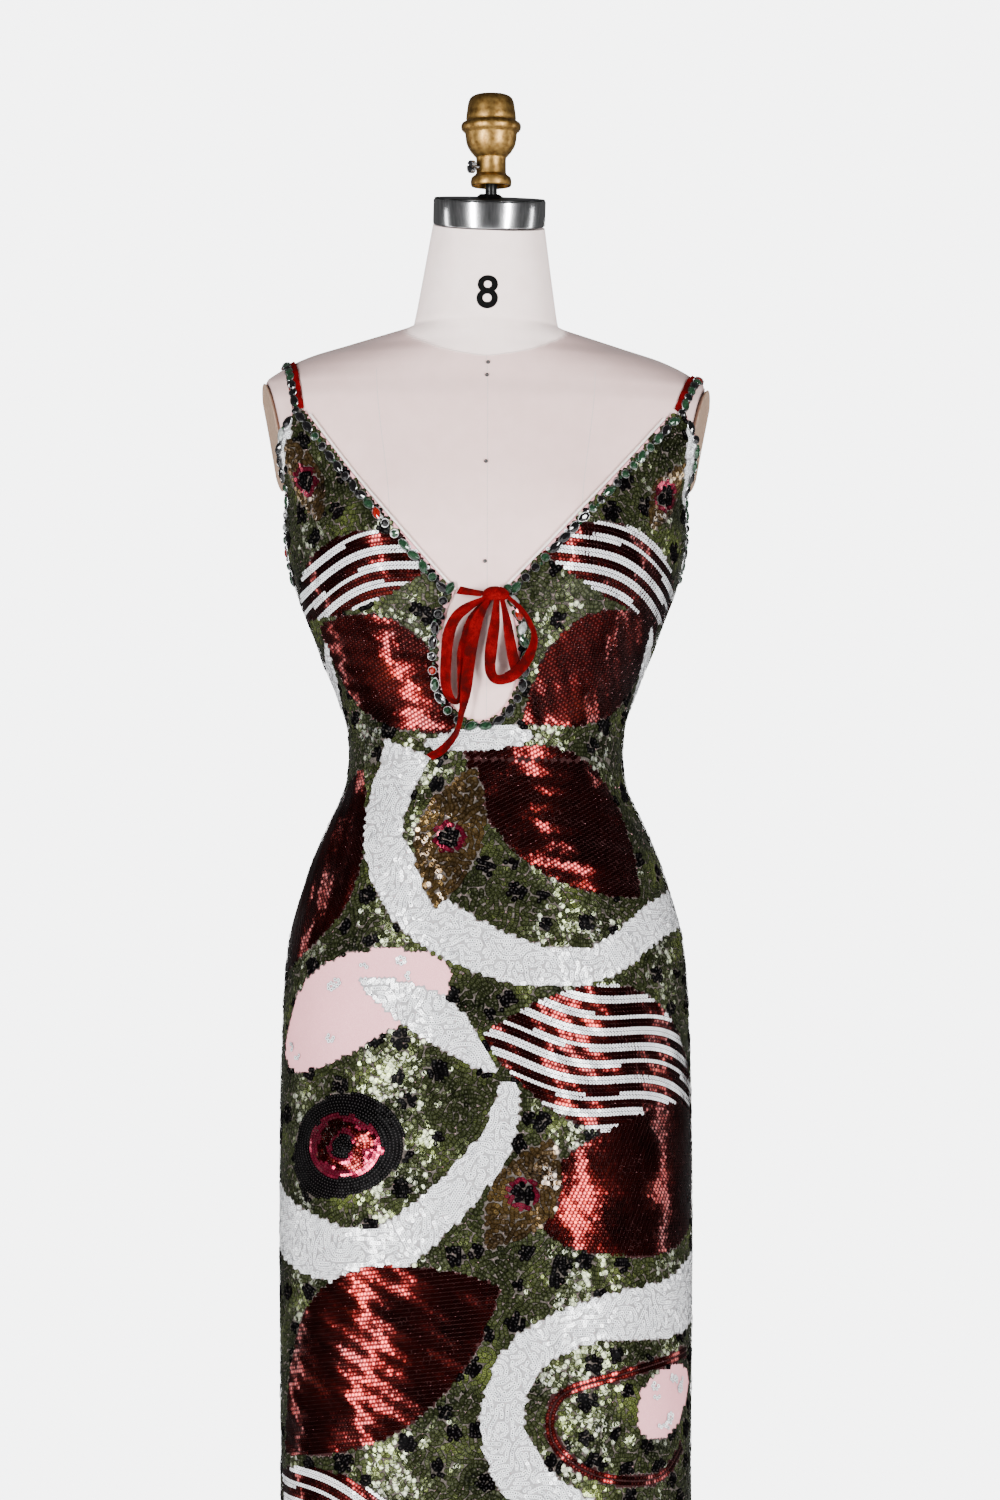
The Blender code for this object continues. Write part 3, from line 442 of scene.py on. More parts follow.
def netMaterial():
    material, nodes, links, shader = startMaterial("blushNet", 0.75)
    cloth = readUv(nodes, "cut")
    weave = nodes.new("ShaderNodeTexVoronoi")
    weave.feature = "DISTANCE_TO_EDGE"
    weave.inputs["Scale"].default_value = 900
    links.new(cloth, weave.inputs["Vector"])
    mesh = weave.outputs["Distance"]
    threads = addRamp(nodes, links, mesh, (0.03, (0.76, 0.36, 0.39)), (0.22, (0.66, 0.27, 0.30)))
    shade = addRamp(nodes, links, addNoise(nodes, links, cloth, 18), (0.3, grey(0.92)), (0.7, grey(1)))
    links.new(addMix(nodes, links, 1.0, threads, shade, "MULTIPLY"), shader.inputs["Base Color"])
    addBump(nodes, links, shader, mesh, 0.0002, 0.4)
    return material


def linenMaterial():
    # woven threads with slubs, a paler neck that is partly painted light, and painted shade where the mesh says
    # so
    material, nodes, links, shader = startMaterial("linen", 0.85, Sheen_Weight=0.12)
    place = nodes.new("ShaderNodeTexCoord").outputs["Object"]
    weave = nodes.new("ShaderNodeMath")
    weave.operation = "ADD"
    for direction, socket in zip(("X", "Z"), weave.inputs):
        wave = nodes.new("ShaderNodeTexWave")
        wave.bands_direction = direction
        wave.inputs["Scale"].default_value = 320
        wave.inputs["Distortion"].default_value = 1.2
        links.new(place, wave.inputs["Vector"])
        links.new(wave.outputs["Fac"], socket)
    slub, cloud = addNoise(nodes, links, place, 60, 5), addNoise(nodes, links, place, 5)
    chest = addRamp(nodes, links, cloud, (0.25, (0.690, 0.480, 0.452)), (0.75, (0.730, 0.515, 0.487)))
    # the neck's linen is paler: partly its own whiter cloth, partly painted light on the neck
    neck = addRamp(nodes, links, cloud, (0.25, (0.930, 0.770, 0.730)), (0.75, (0.960, 0.800, 0.765)))
    base = addMix(nodes, links, readValue(nodes, "neck"), chest, neck)
    fleck = addRamp(nodes, links, slub, (0.35, (0.95, 0.94, 0.93)), (0.65, grey(1)))
    worn = addMix(nodes, links, 1.0, base, fleck, "MULTIPLY")
    # painted shade, multiplied in over the upward and outward faces of the shoulders
    shaded = addMix(nodes, links, 1.0, worn, (0.42, 0.40, 0.40, 1), "MULTIPLY")
    links.new(addMix(nodes, links, readValue(nodes, "paintedShade"), worn, shaded), shader.inputs["Base Color"])
    addBump(nodes, links, shader, weave.outputs["Value"], 0.00012, 0.5)
    return material


def grainMaterial(name, dark, light, scale, roughness, metallic=0.0, bump=0.0001, stretch=(1, 1, 1),
                  foldShade=0, **fixed):
    # plain finish with a fine grain, drawn out along an axis or not; foldShade paints broad dark patches at
    # random, standing in for the shade in folds
    material, nodes, links, shader = startMaterial(name, roughness, metallic, **fixed)
    mapping = nodes.new("ShaderNodeMapping")
    mapping.inputs["Scale"].default_value = stretch
    links.new(nodes.new("ShaderNodeTexCoord").outputs["Object"], mapping.inputs["Vector"])
    place = mapping.outputs["Vector"]
    grain = addNoise(nodes, links, place, scale, 4)
    base = addRamp(nodes, links, grain, (0.3, dark), (0.7, light))
    # painted shade: broad random dark patches in place of the shade of folds
    if foldShade:
        patches = addRamp(nodes, links, addNoise(nodes, links, place, foldShade, 2),
                          (0.36, grey(0.34)), (0.52, grey(0.9)), (0.66, grey(1.25)))
        base = addMix(nodes, links, 1.0, base, patches, "MULTIPLY")
    links.new(base, shader.inputs["Base Color"])
    addBump(nodes, links, shader, grain, bump)
    return material


finishes = {name: sequinMaterial(name) for name in sequinLooks}
finishes["net"] = netMaterial()
finishes["linen"] = linenMaterial()
# red velvet, with painted fold shade in broad patches
finishes["velvet"] = grainMaterial("redVelvet", (0.055, 0.0001, 0.0006), (0.115, 0.0002, 0.0012), 900, 0.9,
                                   bump=0.0002, foldShade=85, Sheen_Weight=0.06, Sheen_Tint=(1.0, 0.02, 0.02, 1),
                                   Specular_IOR_Level=0.05)
finishes["piping"] = grainMaterial("palePiping", (0.60, 0.50, 0.46), (0.78, 0.70, 0.66), 700, 0.7)
finishes["plate"] = grainMaterial("tanPlate", (0.20, 0.125, 0.080), (0.30, 0.20, 0.14), 300, 0.7)
finishes["steel"] = grainMaterial("brushedSteel", (0.34, 0.34, 0.35), (0.62, 0.62, 0.63), 420, 0.17, 1.0,
                                  0.00002, (1, 1, 0.03))
finishes["blackCap"] = grainMaterial("blackEnamel", (0.002, 0.002, 0.002), (0.005, 0.005, 0.005), 240, 0.3,
                                     Specular_IOR_Level=0.2)
finishes["brass"] = grainMaterial("agedBrass", (0.15, 0.078, 0.020), (0.38, 0.225, 0.066), 240, 0.40, 1.0,
                                  0.00007)
finishes["screw"] = grainMaterial("screwSteel", (0.08, 0.08, 0.085), (0.26, 0.26, 0.27), 500, 0.28, 1.0)
finishes["stand"] = grainMaterial("blackStand", (0.012, 0.012, 0.013), (0.030, 0.030, 0.032), 220, 0.45)
finishes["ink"] = grainMaterial("numeralInk", (0.0016, 0.0016, 0.0016), (0.0028, 0.0028, 0.0028), 400, 0.8,
                                Specular_IOR_Level=0.05)
finishes["pin"] = grainMaterial("pinHead", (0.002, 0.002, 0.002), (0.012, 0.011, 0.010), 400, 0.3)
# dark sheets under the sequins, one for each kind of foil: painted shade for the shadow between overlapping
# discs
finishes["under"] = grainMaterial("paintedShadeDark", (0.028, 0.024, 0.020), (0.088, 0.074, 0.066), 300, 0.8,
                                  Specular_IOR_Level=0.05)
finishes["paintedShadeRed"] = grainMaterial("paintedShadeRed", (0.008, 0.002, 0.002), (0.030, 0.010, 0.010), 300, 0.8,
                                     Specular_IOR_Level=0.05)
finishes["paintedShadeWhite"] = grainMaterial("paintedShadeWhite", (0.20, 0.195, 0.20), (0.34, 0.335, 0.34), 300, 0.8)
finishes["seam"] = grainMaterial("linenSeam", (0.50, 0.41, 0.39), (0.57, 0.48, 0.46), 500, 0.85)
finishes["setting"] = grainMaterial("silverSetting", (0.10, 0.10, 0.10), (0.36, 0.36, 0.37), 600, 0.3, 1.0)
stoneLooks = {
    "green": ((0.003, 0.014, 0.006), (0.018, 0.060, 0.026)),
    "dark": ((0.001, 0.001, 0.001), (0.006, 0.005, 0.006)),
    "clear": ((0.22, 0.24, 0.23), (0.55, 0.58, 0.57)),
    "red": ((0.10, 0.002, 0.001), (0.40, 0.012, 0.004)),
}
for tint, (dark, light) in stoneLooks.items():
    finishes[tint + "Stone"] = grainMaterial(tint + "Stone", dark, light, 420, 0.08, 0.4, 0.00001,
                                             Coat_Weight=1.0, Coat_Roughness=0.03)
print("materials ready:", len(finishes))


def settle(piece, finish):
    # finish and body of a finished mesh
    piece.data.materials.append(finishes[finish])
    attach(piece, "root")


def meshPiece(name, points, faces, finish, smooth=True, edgeAngle=40):
    mesh = bpy.data.meshes.new(name)
    mesh.from_pydata(np.asarray(points).tolist(), [], [tuple(face) for face in faces])
    mesh.validate()
    piece = newObject(name, mesh)
    if smooth:
        mesh.shade_smooth()
        mesh.set_sharp_from_angle(angle=math.radians(edgeAngle))
    settle(piece, finish)
    return piece


def gridFaces(rows, columns, closed=False):
    corner = np.arange(rows - 1)[:, None] * columns + np.arange(columns if closed else columns - 1)
    beside = corner + 1
    if closed:
        beside[:, -1] = np.arange(rows - 1) * columns
    return np.stack([corner, beside, beside + columns, corner + columns], -1).reshape(-1, 4)


def onlySelect(piece):
    bpy.ops.object.select_all(action="DESELECT")
    piece.select_set(True)
    bpy.context.view_layer.objects.active = piece


def applyAll(piece):
    onlySelect(piece)
    for modifier in list(piece.modifiers):
        bpy.ops.object.modifier_apply(modifier=modifier.name)


def resizeMesh(factors):
    # stretches the active piece's mesh about its middle
    bpy.ops.object.mode_set(mode="EDIT")
    bpy.ops.mesh.select_all(action="SELECT")
    bpy.ops.transform.resize(value=factors)
    bpy.ops.object.mode_set(mode="OBJECT")


def joinTo(piece):
    # the primitive just added becomes part of this piece
    bpy.ops.object.transform_apply(location=True, rotation=True, scale=True)
    piece.select_set(True)
    bpy.context.view_layer.objects.active = piece
    bpy.ops.object.join()


def readPoints(mesh):
    flat = np.zeros(len(mesh.vertices) * 3)
    mesh.vertices.foreach_get("co", flat)
    return flat.reshape(-1, 3)


def setUv(mesh, name, corners):
    layer = mesh.uv_layers.new(name=name)
    layer.data.foreach_set("uv", np.asarray(corners, dtype=np.float32).ravel())


def loopPoints(mesh):
    index = np.zeros(len(mesh.loops), dtype=np.int32)
    mesh.loops.foreach_get("vertex_index", index)
    return index


def pointValues(mesh, name, values):
    mesh.attributes.new(name, "FLOAT", "POINT").data.foreach_set("value", values.astype(np.float32).ravel())


def closedFaces(rings, sides):
    # walls from ring to ring and a face over each end
    last = (rings - 1) * sides
    walls = [tuple(face) for face in gridFaces(rings, sides, True)]
    return walls + [tuple(range(sides))[::-1], tuple(range(last, last + sides))]


def sweptPiece(name, path, normals, profile, finish, edgeAngle=40):
    # a closed profile, one for all rings or one for each, along a path
    across = unit(np.cross(unit(np.gradient(path, axis=0)), normals))
    normals = unit(np.cross(across, unit(np.gradient(path, axis=0))))
    rings = path[:, None] + across[:, None] * profile[..., :1] + normals[:, None] * profile[..., 1:]
    faces = closedFaces(*rings.shape[:2])
    piece = meshPiece(name, rings.reshape(-1, 3), faces, finish, edgeAngle=edgeAngle)
    tidyNormals(piece)
    return piece


def tubePiece(name, path, radius, finish, sides, normals):
    turn = np.linspace(0, 2 * np.pi, sides, endpoint=False)
    size = np.broadcast_to(radius, (len(path),))[:, None, None]
    return sweptPiece(name, path, normals, np.stack([np.cos(turn), np.sin(turn)], 1) * size, finish)


def tidyNormals(piece):
    shape = bmesh.new()
    shape.from_mesh(piece.data)
    bmesh.ops.recalc_face_normals(shape, faces=shape.faces)
    shape.to_mesh(piece.data)
    shape.free()


# blush net under the sequins, cut in the same panels as the dress
netCut = {
    "out": 0.0011, "thickness": 0.0006, "rowStep": 0.0125, "seamHalf": 0.0002, "weld": 0.00002,
    "frontSteps": 72, "backSteps": 36, "cupSteps": 34, "backRows": 18, "seamRows": 7, "edgeRows": 60,
    "sideRise": (0.008, 0.14),  # how far the bodice's rows rise at the side seam, and over what height
    # width, length and area that each panel was cut to
    "cut": {
        "skirt_front": (0.481, 1.05, 0.489),
        "skirt_back_left": (0.250, 1.05, 0.253), "skirt_back_right": (0.250, 1.05, 0.253),
        "bodice_front": (0.41, 0.33, 0.0904),
        "bodice_back_left": (0.222, 0.17, 0.0324), "bodice_back_right": (0.222, 0.17, 0.0324),
    },
}


def netPiece(node, grids, flatGrids):
    points, faces, flats, count = [], [], [], 0
    for grid, flat in zip(grids, flatGrids):
        rows, columns = grid.shape[:2]
        face = gridFaces(rows, columns)
        toRight = grid[rows // 2, 0, 0] < grid[rows // 2, -1, 0]
        behind = grid[..., 1].mean() > 0
        if toRight == behind:
            face = face[:, ::-1]  # so that every face looks outward
        faces.append(face + count)
        points.append(grid.reshape(-1, 3))
        flats.append(flat.reshape(-1, 2))
        count += rows * columns
    piece = meshPiece("net_" + node, np.concatenate(points), np.concatenate(faces), "net")
    setUv(piece.data, "cut", np.concatenate(flats)[loopPoints(piece.data)])
    onlySelect(piece)
    bpy.ops.object.mode_set(mode="EDIT")
    bpy.ops.mesh.select_all(action="SELECT")
    bpy.ops.mesh.remove_doubles(threshold=netCut["weld"])
    bpy.ops.object.mode_set(mode="OBJECT")
    wall = piece.modifiers.new("wall", "SOLIDIFY")
    wall.thickness = netCut["thickness"]
    wall.offset = -1
    applyAll(piece)
    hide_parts(node)


def panelGrid(heights, turnFrom, turnTo, steps):
    share = np.linspace(0, 1, steps + 1)
    start, end = turnFrom(heights)[:, None], turnTo(heights)[:, None]
    turn = start + (end - start) * share
    z = np.repeat(heights[:, None], steps + 1, 1)
    flat = np.stack([turn * arcRadius, z], -1)
    return roundPoint(turn, z, netCut["out"]), flat


def seamTurn(z, edge):
    # turn a hair short of the side seam or of the centre back
    half, front, back, square = sectionAt(z, "cloth")
    gap = netCut["seamHalf"]
    if edge == "sideFront":
        return np.pi / 2 - np.arcsin((gap / front) ** (square / 2))
    if edge == "sideBack":
        return np.pi / 2 + np.arcsin((gap / back) ** (square / 2))
    return np.pi - np.arcsin((gap / half) ** (square / 2))


def addBackNet(panel, heights):
    for side, sign in bothSides:
        grid, flat = panelGrid(heights, lambda z: sign * seamTurn(z, "sideBack"),
                               lambda z: sign * seamTurn(z, "back"), netCut["backSteps"])
        netPiece(panel + "_" + side, [grid], [flat])


def addSkirtNet():
    top = body["waist"] - netCut["seamHalf"]
    heights = np.linspace(body["hem"], top, round((top - body["hem"]) / netCut["rowStep"]))
    grid, flat = panelGrid(heights, lambda z: -seamTurn(z, "sideFront"), lambda z: seamTurn(z, "sideFront"),
                           netCut["frontSteps"])
    netPiece("skirt_front", [grid], [flat])
    addBackNet("skirt_back", heights)


def innerEdge(sign):
    # half width and height of the opening's edge, from the waist to the cup top
    bottom = body["waist"] + netCut["seamHalf"]
    seam = [(0.0, z) for z in np.linspace(bottom, opening["low"], netCut["seamRows"] + 1)[:-1]]
    end = math.asin((opening["top"] - opening["middle"]) / opening["rise"])
    ring = []
    for turn in np.linspace(-math.pi / 2, end, netCut["edgeRows"])[:-1]:
        rise = opening["rise"] if turn > 0 else opening["middle"] - opening["low"]
        ring.append((opening["half"] * math.cos(turn), opening["middle"] + rise * math.sin(turn)))
    upper = np.linspace(opening["top"], body["cupTop"], netCut["edgeRows"])
    neck = [(float(necklineHalf(z, sign)), z) for z in upper]
    return np.array(seam + ring + neck)


def addFrontBodiceNet():
    grids, flats = [], []
    for sign in (1, -1):
        edge = innerEdge(sign)
        z = edge[:, 1]
        start = turnAtX(openingShift(z) + sign * edge[:, 0], z)
        rise, reach = netCut["sideRise"]
        sideZ = z + rise * np.sin(np.pi * np.clip((z - z[0]) / reach, 0, 1))
        sideZ = np.minimum(sideZ, body["cupTop"])
        short = np.maximum(armholeTurn(sideZ, sign), np.pi / 2 - seamTurn(sideZ, "sideFront"))
        end = sign * (np.pi / 2 - short)
        share = np.linspace(0, 1, netCut["cupSteps"] + 1)
        turn = start[:, None] + (end - start)[:, None] * share
        height = z[:, None] + (sideZ - z)[:, None] * share
        grids.append(roundPoint(turn, height, netCut["out"]))
        flats.append(np.stack([turn * arcRadius, height], -1))
    netPiece("bodice_front", grids, flats)


addSkirtNet()
addBackNet("bodice_back", np.linspace(body["waist"] + netCut["seamHalf"], body["sideTop"],
                                      netCut["backRows"]))
addFrontBodiceNet()
print("net panels done")


# sequin pattern: leaves, pebbles, bands and rosettes laid out on the flat map, in millimetres
def turned(points, lean, s, z):
    cos, sin = math.cos(math.radians(lean)), math.sin(math.radians(lean))
    return points @ np.array([[cos, sin], [-sin, cos]]) + (s, z)


def leaf(s, z, length, width, lean, bend=0.0):
    share = np.linspace(0, 1, 26)
    half = width / 2 * np.sin(np.pi * share) ** 0.85
    along, curve = (share - 0.5) * length, bend * np.sin(np.pi * share)
    upper = np.stack([along, curve + half], 1)
    lower = np.stack([along, curve - half], 1)[::-1]
    return turned(np.concatenate([upper, lower]), lean, s, z)


def pebble(s, z, across, tall, lean, wobble=0.08, start=0.0):
    turn = np.linspace(0, 2 * np.pi, 48, endpoint=False)
    size = 1 + wobble * np.sin(2 * turn + start) + wobble * 0.7 * np.sin(3 * turn + 2.1 * start + 1)
    return turned(np.stack([across * size * np.cos(turn), tall * size * np.sin(turn)], 1), lean, s, z)


def curveThrough(points, steps):
    # smooth curve through a few points, the same number of steps in each span
    points = np.asarray(points, float)
    padded = np.concatenate([2 * points[:1] - points[1:2], points, 2 * points[-1:] - points[-2:-1]])
    parts = []
    for a, b, c, d in zip(padded, padded[1:], padded[2:], padded[3:]):
        t = np.linspace(0, 1, steps, endpoint=False)[:, None]
        parts.append(0.5 * (2 * b + (c - a) * t + (2 * a - 5 * b + 4 * c - d) * t ** 2
                            + (3 * b - a - 3 * c + d) * t ** 3))
    return np.concatenate(parts + [points[-1:]])


def band(*rows):
    # each row is a point of the band's middle and its width there
    rows = curveThrough(rows, 9)
    middle, width = rows[:, :2], rows[:, 2:]
    along = unit(np.gradient(middle, axis=0))
    side = np.stack([-along[:, 1], along[:, 0]], 1) * width / 2
    return np.concatenate([middle + side, (middle - side)[::-1]])


# fill and foil of each kind of patch
patchKinds = {
    "white": ("chain", "white"), "bronze": ("chain", "bronze"), "rows": ("rows", "burgundy"),
    "stripes": ("stripes", "burgundy"), "rings": ("rings", "rose"), "line": ("line", "burgundy"),
    "bare": ("bare", "net"),
}
# kind, outline, and the lean of the rows in degrees. Later patches lie over earlier ones
patches = [
    # skirt front, from the waist down
    ("white", band((-70, 1092, 46), (-92, 1020, 40), (-58, 950, 46), (20, 906, 40), (96, 902, 32),
                   (168, 944, 34), (262, 960, 36))),
    ("rows", leaf(62, 1024, 204, 106, -38, 10), 28),
    ("rows", leaf(-168, 985, 204, 88, 62, -8), -62),
    ("bronze", leaf(-26, 1012, 128, 60, 74, 6)),
    ("bare", pebble(-122, 866, 86, 44, 18, 0.12, 0.7)),
    ("white", leaf(-52, 848, 150, 40, -34, 10)),
    ("stripes", leaf(112, 812, 236, 128, -14, 8), -10),
    ("rows", pebble(146, 712, 92, 66, 24, 0.09, 2.2), 64),
    ("rings", pebble(-128, 744, 56, 46, 12, 0.05, 1.0)),
    ("white", band((-262, 706, 50), (-190, 668, 54), (-104, 650, 46), (-40, 690, 38), (8, 748, 30),
                   (22, 800, 16))),
    ("bronze", leaf(30, 704, 112, 58, 58, -4)),
    ("rows", leaf(-96, 552, 262, 142, 34, 16), 6),
    ("white", band((262, 640, 62), (180, 606, 52), (98, 596, 38), (36, 566, 36), (14, 506, 38),
                   (44, 448, 44), (112, 414, 34), (152, 424, 14))),
    ("line", band((206, 566, 10), (120, 548, 10), (64, 530, 10), (58, 492, 10), (96, 462, 10),
                  (158, 458, 10), (196, 484, 10))),
    ("bare", pebble(172, 524, 40, 28, 20, 0.1, 0.2)),
    ("stripes", leaf(-128, 420, 196, 94, -24, -8), -20),
    ("rings", pebble(132, 356, 46, 40, 0, 0.06, 2.6)),
    ("bronze", leaf(-30, 372, 122, 62, 40, 5)),
    ("rows", pebble(22, 272, 120, 72, -16, 0.10, 4.0), -14),
    ("white", leaf(-160, 262, 210, 66, 66, 12)),
    ("white", band((262, 262, 60), (190, 226, 62), (120, 168, 50), (40, 150, 44), (-40, 172, 30))),
    ("rows", leaf(-112, 104, 204, 108, 18, 8), 22),
    ("stripes", leaf(142, 92, 176, 88, -22, 6), -24),
    ("bronze", leaf(22, 84, 96, 50, 68, 0)),
    # bodice front
    ("rows", leaf(-96, 1152, 168, 84, 146, -8), 28),
    ("rows", leaf(108, 1156, 176, 88, 30, 8), -40),
    ("stripes", leaf(-122, 1234, 190, 64, 14, 9), 12),
    ("stripes", leaf(128, 1238, 196, 66, -20, 10), -18),
    ("white", pebble(-4, 1098, 44, 12, 4, 0.08, 1.2)),
    ("white", leaf(-176, 1128, 126, 36, 74, 0)),
    ("white", leaf(182, 1136, 130, 34, 104, 0)),
    ("white", leaf(-202, 1358, 108, 40, 58, 0)),
    ("bronze", leaf(-168, 1326, 82, 40, 108, 0)),
    ("white", leaf(206, 1342, 120, 34, 112, 0)),
    ("bronze", leaf(172, 1312, 70, 36, 64, 0)),
    # right half of the back, then the left
    ("rows", leaf(330, 1004, 200, 92, 64, 10), 20),
    ("white", band((240, 958, 44), (316, 916, 50), (398, 930, 46), (480, 900, 40))),
    ("rings", pebble(372, 826, 54, 46, 0, 0.06, 0.5)),
    ("stripes", leaf(338, 716, 196, 104, 16, 8), 12),
    ("white", band((250, 640, 72), (330, 610, 50), (404, 640, 44), (480, 700, 40))),
    ("rows", leaf(386, 524, 220, 110, -30, 10), -8),
    ("bronze", leaf(292, 470, 104, 48, 58, 0)),
    ("white", leaf(336, 362, 220, 60, 24, 14)),
    ("rows", pebble(396, 246, 74, 70, 10, 0.09, 1.0), 30),
    ("stripes", leaf(300, 140, 170, 90, -18, 6), -20),
    ("rows", leaf(336, 1164, 170, 76, 22, 6), -24),
    ("white", leaf(402, 1110, 130, 40, 70, 0)),
    ("rows", leaf(-352, 968, 220, 94, 112, 8), -24),
    ("white", band((-250, 880, 46), (-320, 850, 56), (-400, 872, 46), (-480, 930, 40))),
    ("bronze", leaf(-300, 778, 110, 50, 128, 0)),
    ("stripes", leaf(-392, 742, 186, 100, -22, 8), -16),
    ("rings", pebble(-310, 626, 50, 44, 0, 0.06, 3.4)),
    ("rows", leaf(-396, 560, 200, 104, 40, 8), 12),
    ("white", band((-250, 500, 40), (-310, 450, 56), (-392, 430, 50), (-480, 460, 44))),
    ("rows", leaf(-318, 330, 200, 100, -28, 8), 26),
    ("bronze", leaf(-420, 300, 100, 46, 66, 0)),
    ("stripes", leaf(-392, 178, 180, 92, 16, 6), 18),
    ("white", leaf(-296, 120, 180, 56, -40, 8)),
    ("stripes", leaf(-338, 1176, 176, 74, -16, 6), -12),
    ("white", leaf(-400, 1116, 120, 38, 112, 0)),
]
patchPlan = [(*patchKinds[kind], outline, *(lean or [0])) for kind, outline, *lean in patches]
# millimetres
sequinSizes = {
    "chainCell": 4.3, "chainSize": 4.2, "foilSize": 4.8, "chainJitter": 0.35,
    "rowStep": 3.1, "rowGap": 3.55, "rowSize": 3.8, "rowShift": 1.37, "underSize": 6.2,
    "stripes": {
        "wave": 6.5, "waveLength": 27, "threads": 4,
        "half": (0.86, 0.30, 52), "middle": (1.5, 0.22, 37),  # in threads, their swing and its length
    },
    "rings": {"first": 2.0, "gap": 3.3, "step": 3.1, "reach": 1.2, "wander": 0.10},
    "line": {"step": 3.0, "aside": 2.3},
    "strewn": {"loops": 9, "inward": (0.12, 0.55), "discs": (3, 7), "half": (3.4, 2.8)},
    "cluster": {"step": 31, "shift": 10, "share": 0.80, "radius": (5.5, 9.5), "ragged": (0.8, 1.05)},
    "eye": {"dark": 9, "ring": 14},  # in the middle of each bronze leaf
}
# degrees, and how strongly a chain follows the flow
sequinLean = {
    "chainTilt": 5.0, "rowTilt": 6.0, "chainWobble": 1.6, "rowWobble": 1.2, "patchWobble": 5.0,
    "threadTurn": 6.0, "acrossShare": 0.6, "chainFlow": 0.14,
}
# metres off the cloth, and room to the panel's edges
sequinSeat = {
    "out": 0.0017, "spread": 0.0003, "blackLift": 0.0005, "underLift": -0.0004, "ahead": 0.0006,
    "edgeRoom": 0.0013, "underRoom": 0.0022, "seamRoom": 0.0006, "corners": 7, "underCorners": 4,
}
# smooth fields: their scale in millimetres and their start
sequinWaves = {
    "flow": (60, 2.0), "tips": (15, 9.0), "along": (24, 1.0), "across": (31, 4.0),
    "foil": (38, 7.0), "moss": (60, 3.0), "white": (11, 2.0),
}
goldenTurn = 2.399


def insideOutline(s, z, outline):
    found = np.zeros(len(s), bool)
    low, high = outline.min(0), outline.max(0)
    near = np.nonzero((s > low[0]) & (s < high[0]) & (z > low[1]) & (z < high[1]))[0]
    if len(near) == 0:
        return found
    px, pz = s[near][:, None], z[near][:, None]
    ax, az = outline.T
    bx, bz = np.roll(outline, -1, 0).T
    crosses = ((az > pz) != (bz > pz)) & (px < (bx - ax) * (pz - az) / np.where(bz == az, 1e-9, bz - az) + ax)
    found[near] = crosses.sum(1) % 2 == 1
    return found


def patchAt(s, z):
    owner = np.full(len(s), -1)
    for index, (_, _, outline, _) in enumerate(patchPlan):
        owner[insideOutline(s, z, outline)] = index
    return owner


def softWaves(s, z, scale, start):
    # smooth field from about -1 to 1, its features about `scale` millimetres across
    total, count = np.zeros(len(s)), 7
    for step in range(count):
        heading = start * 1.7 + step * goldenTurn
        stretch = 2 * np.pi / (scale * (1.4 + 0.35 * (step % 3)))
        total += np.sin(stretch * (s * math.cos(heading) + z * math.sin(heading)) + 5.1 * step + start)
    return total / count * 1.6


def rowLattice(outline):
    # even rows over a patch before it is leaned: its middle, then along, across and number of each row
    middle = (outline.min(0) + outline.max(0)) / 2
    reach = np.linalg.norm(outline - middle, axis=1).max() + 8
    rows = np.arange(-reach, reach, sequinSizes["rowGap"])
    places = np.arange(-reach, reach, sequinSizes["rowStep"])
    across, along = np.meshgrid(rows, places, indexing="ij")
    number = np.repeat(np.arange(len(rows))[:, None], len(places), 1)
    along = along + (number * sequinSizes["rowShift"]) % sequinSizes["rowStep"]
    return middle, along.ravel(), across.ravel(), number.ravel()


def toMap(middle, along, across, lean):
    return turned(np.stack([along, across], 1), lean, *middle)


def threadTurn(along, number, index):
    # how the discs of one thread tip together, from -1 to 1
    start = number * goldenTurn + index * 17
    return 0.6 * np.sin(along / 10 + 5.3 * start) + 0.5 * np.sin(along / 4.3 + 3.1 * start)


def fillRows(index, outline, lean):
    middle, along, across, number = rowLattice(outline)
    spots = toMap(middle, along, across, lean)
    return (spots, np.full(len(spots), math.radians(lean)), np.full(len(spots), "burgundy", object),
            threadTurn(along, number, index))


def fillStripes(index, outline, lean):
    look = sequinSizes["stripes"]
    middle, along, across, number = rowLattice(outline)
    phase = along / look["waveLength"] + index
    spots = toMap(middle, along, across + look["wave"] * np.sin(phase), lean)
    slope = look["wave"] / look["waveLength"] * np.cos(phase)
    # each thread keeps its foil, and a white band thins out by a thread now and then
    band, place = (number + index) // look["threads"], (number + index) % look["threads"]
    half, halfSwing, halfLength = look["half"]
    centre, centreSwing, centreLength = look["middle"]
    bandHalf = half + halfSwing * np.sin(along / halfLength + 2.3 * band + index)
    bandMiddle = centre + centreSwing * np.sin(along / centreLength + 1.3 * band)
    foil = np.where(np.abs(place - bandMiddle) < bandHalf, "white", "burgundy").astype(object)
    return spots, math.radians(lean) + np.arctan(slope), foil, threadTurn(along, number, index)


def fillRings(index, outline, _):
    look = sequinSizes["rings"]
    middle = (outline.min(0) + outline.max(0)) / 2
    across, tall = (outline.max(0) - outline.min(0)) / 2
    rings = []
    for radius in np.arange(look["first"], max(across, tall) * look["reach"], look["gap"]):
        count = max(int(2 * np.pi * radius / look["step"]), 3)
        turn = np.linspace(0, 2 * np.pi, count, endpoint=False) + radius
        spots = np.stack([np.cos(turn) * radius, np.sin(turn) * radius * tall / across], 1) + middle
        rings.append((spots, turn + np.pi / 2, np.full(count, radius / across)))
    spots, heads, share = (np.concatenate(column) for column in zip(*rings))
    share = share + look["wander"] * softWaves(*spots.T, 16, index)
    foil = np.select([share < 0.20, share < 0.30, share < 0.46, share < 0.62],
                     ["black", "rose", "burgundy", "rose"], "black").astype(object)
    return spots, heads, foil, threadTurn(heads * 12, share * 8, index)


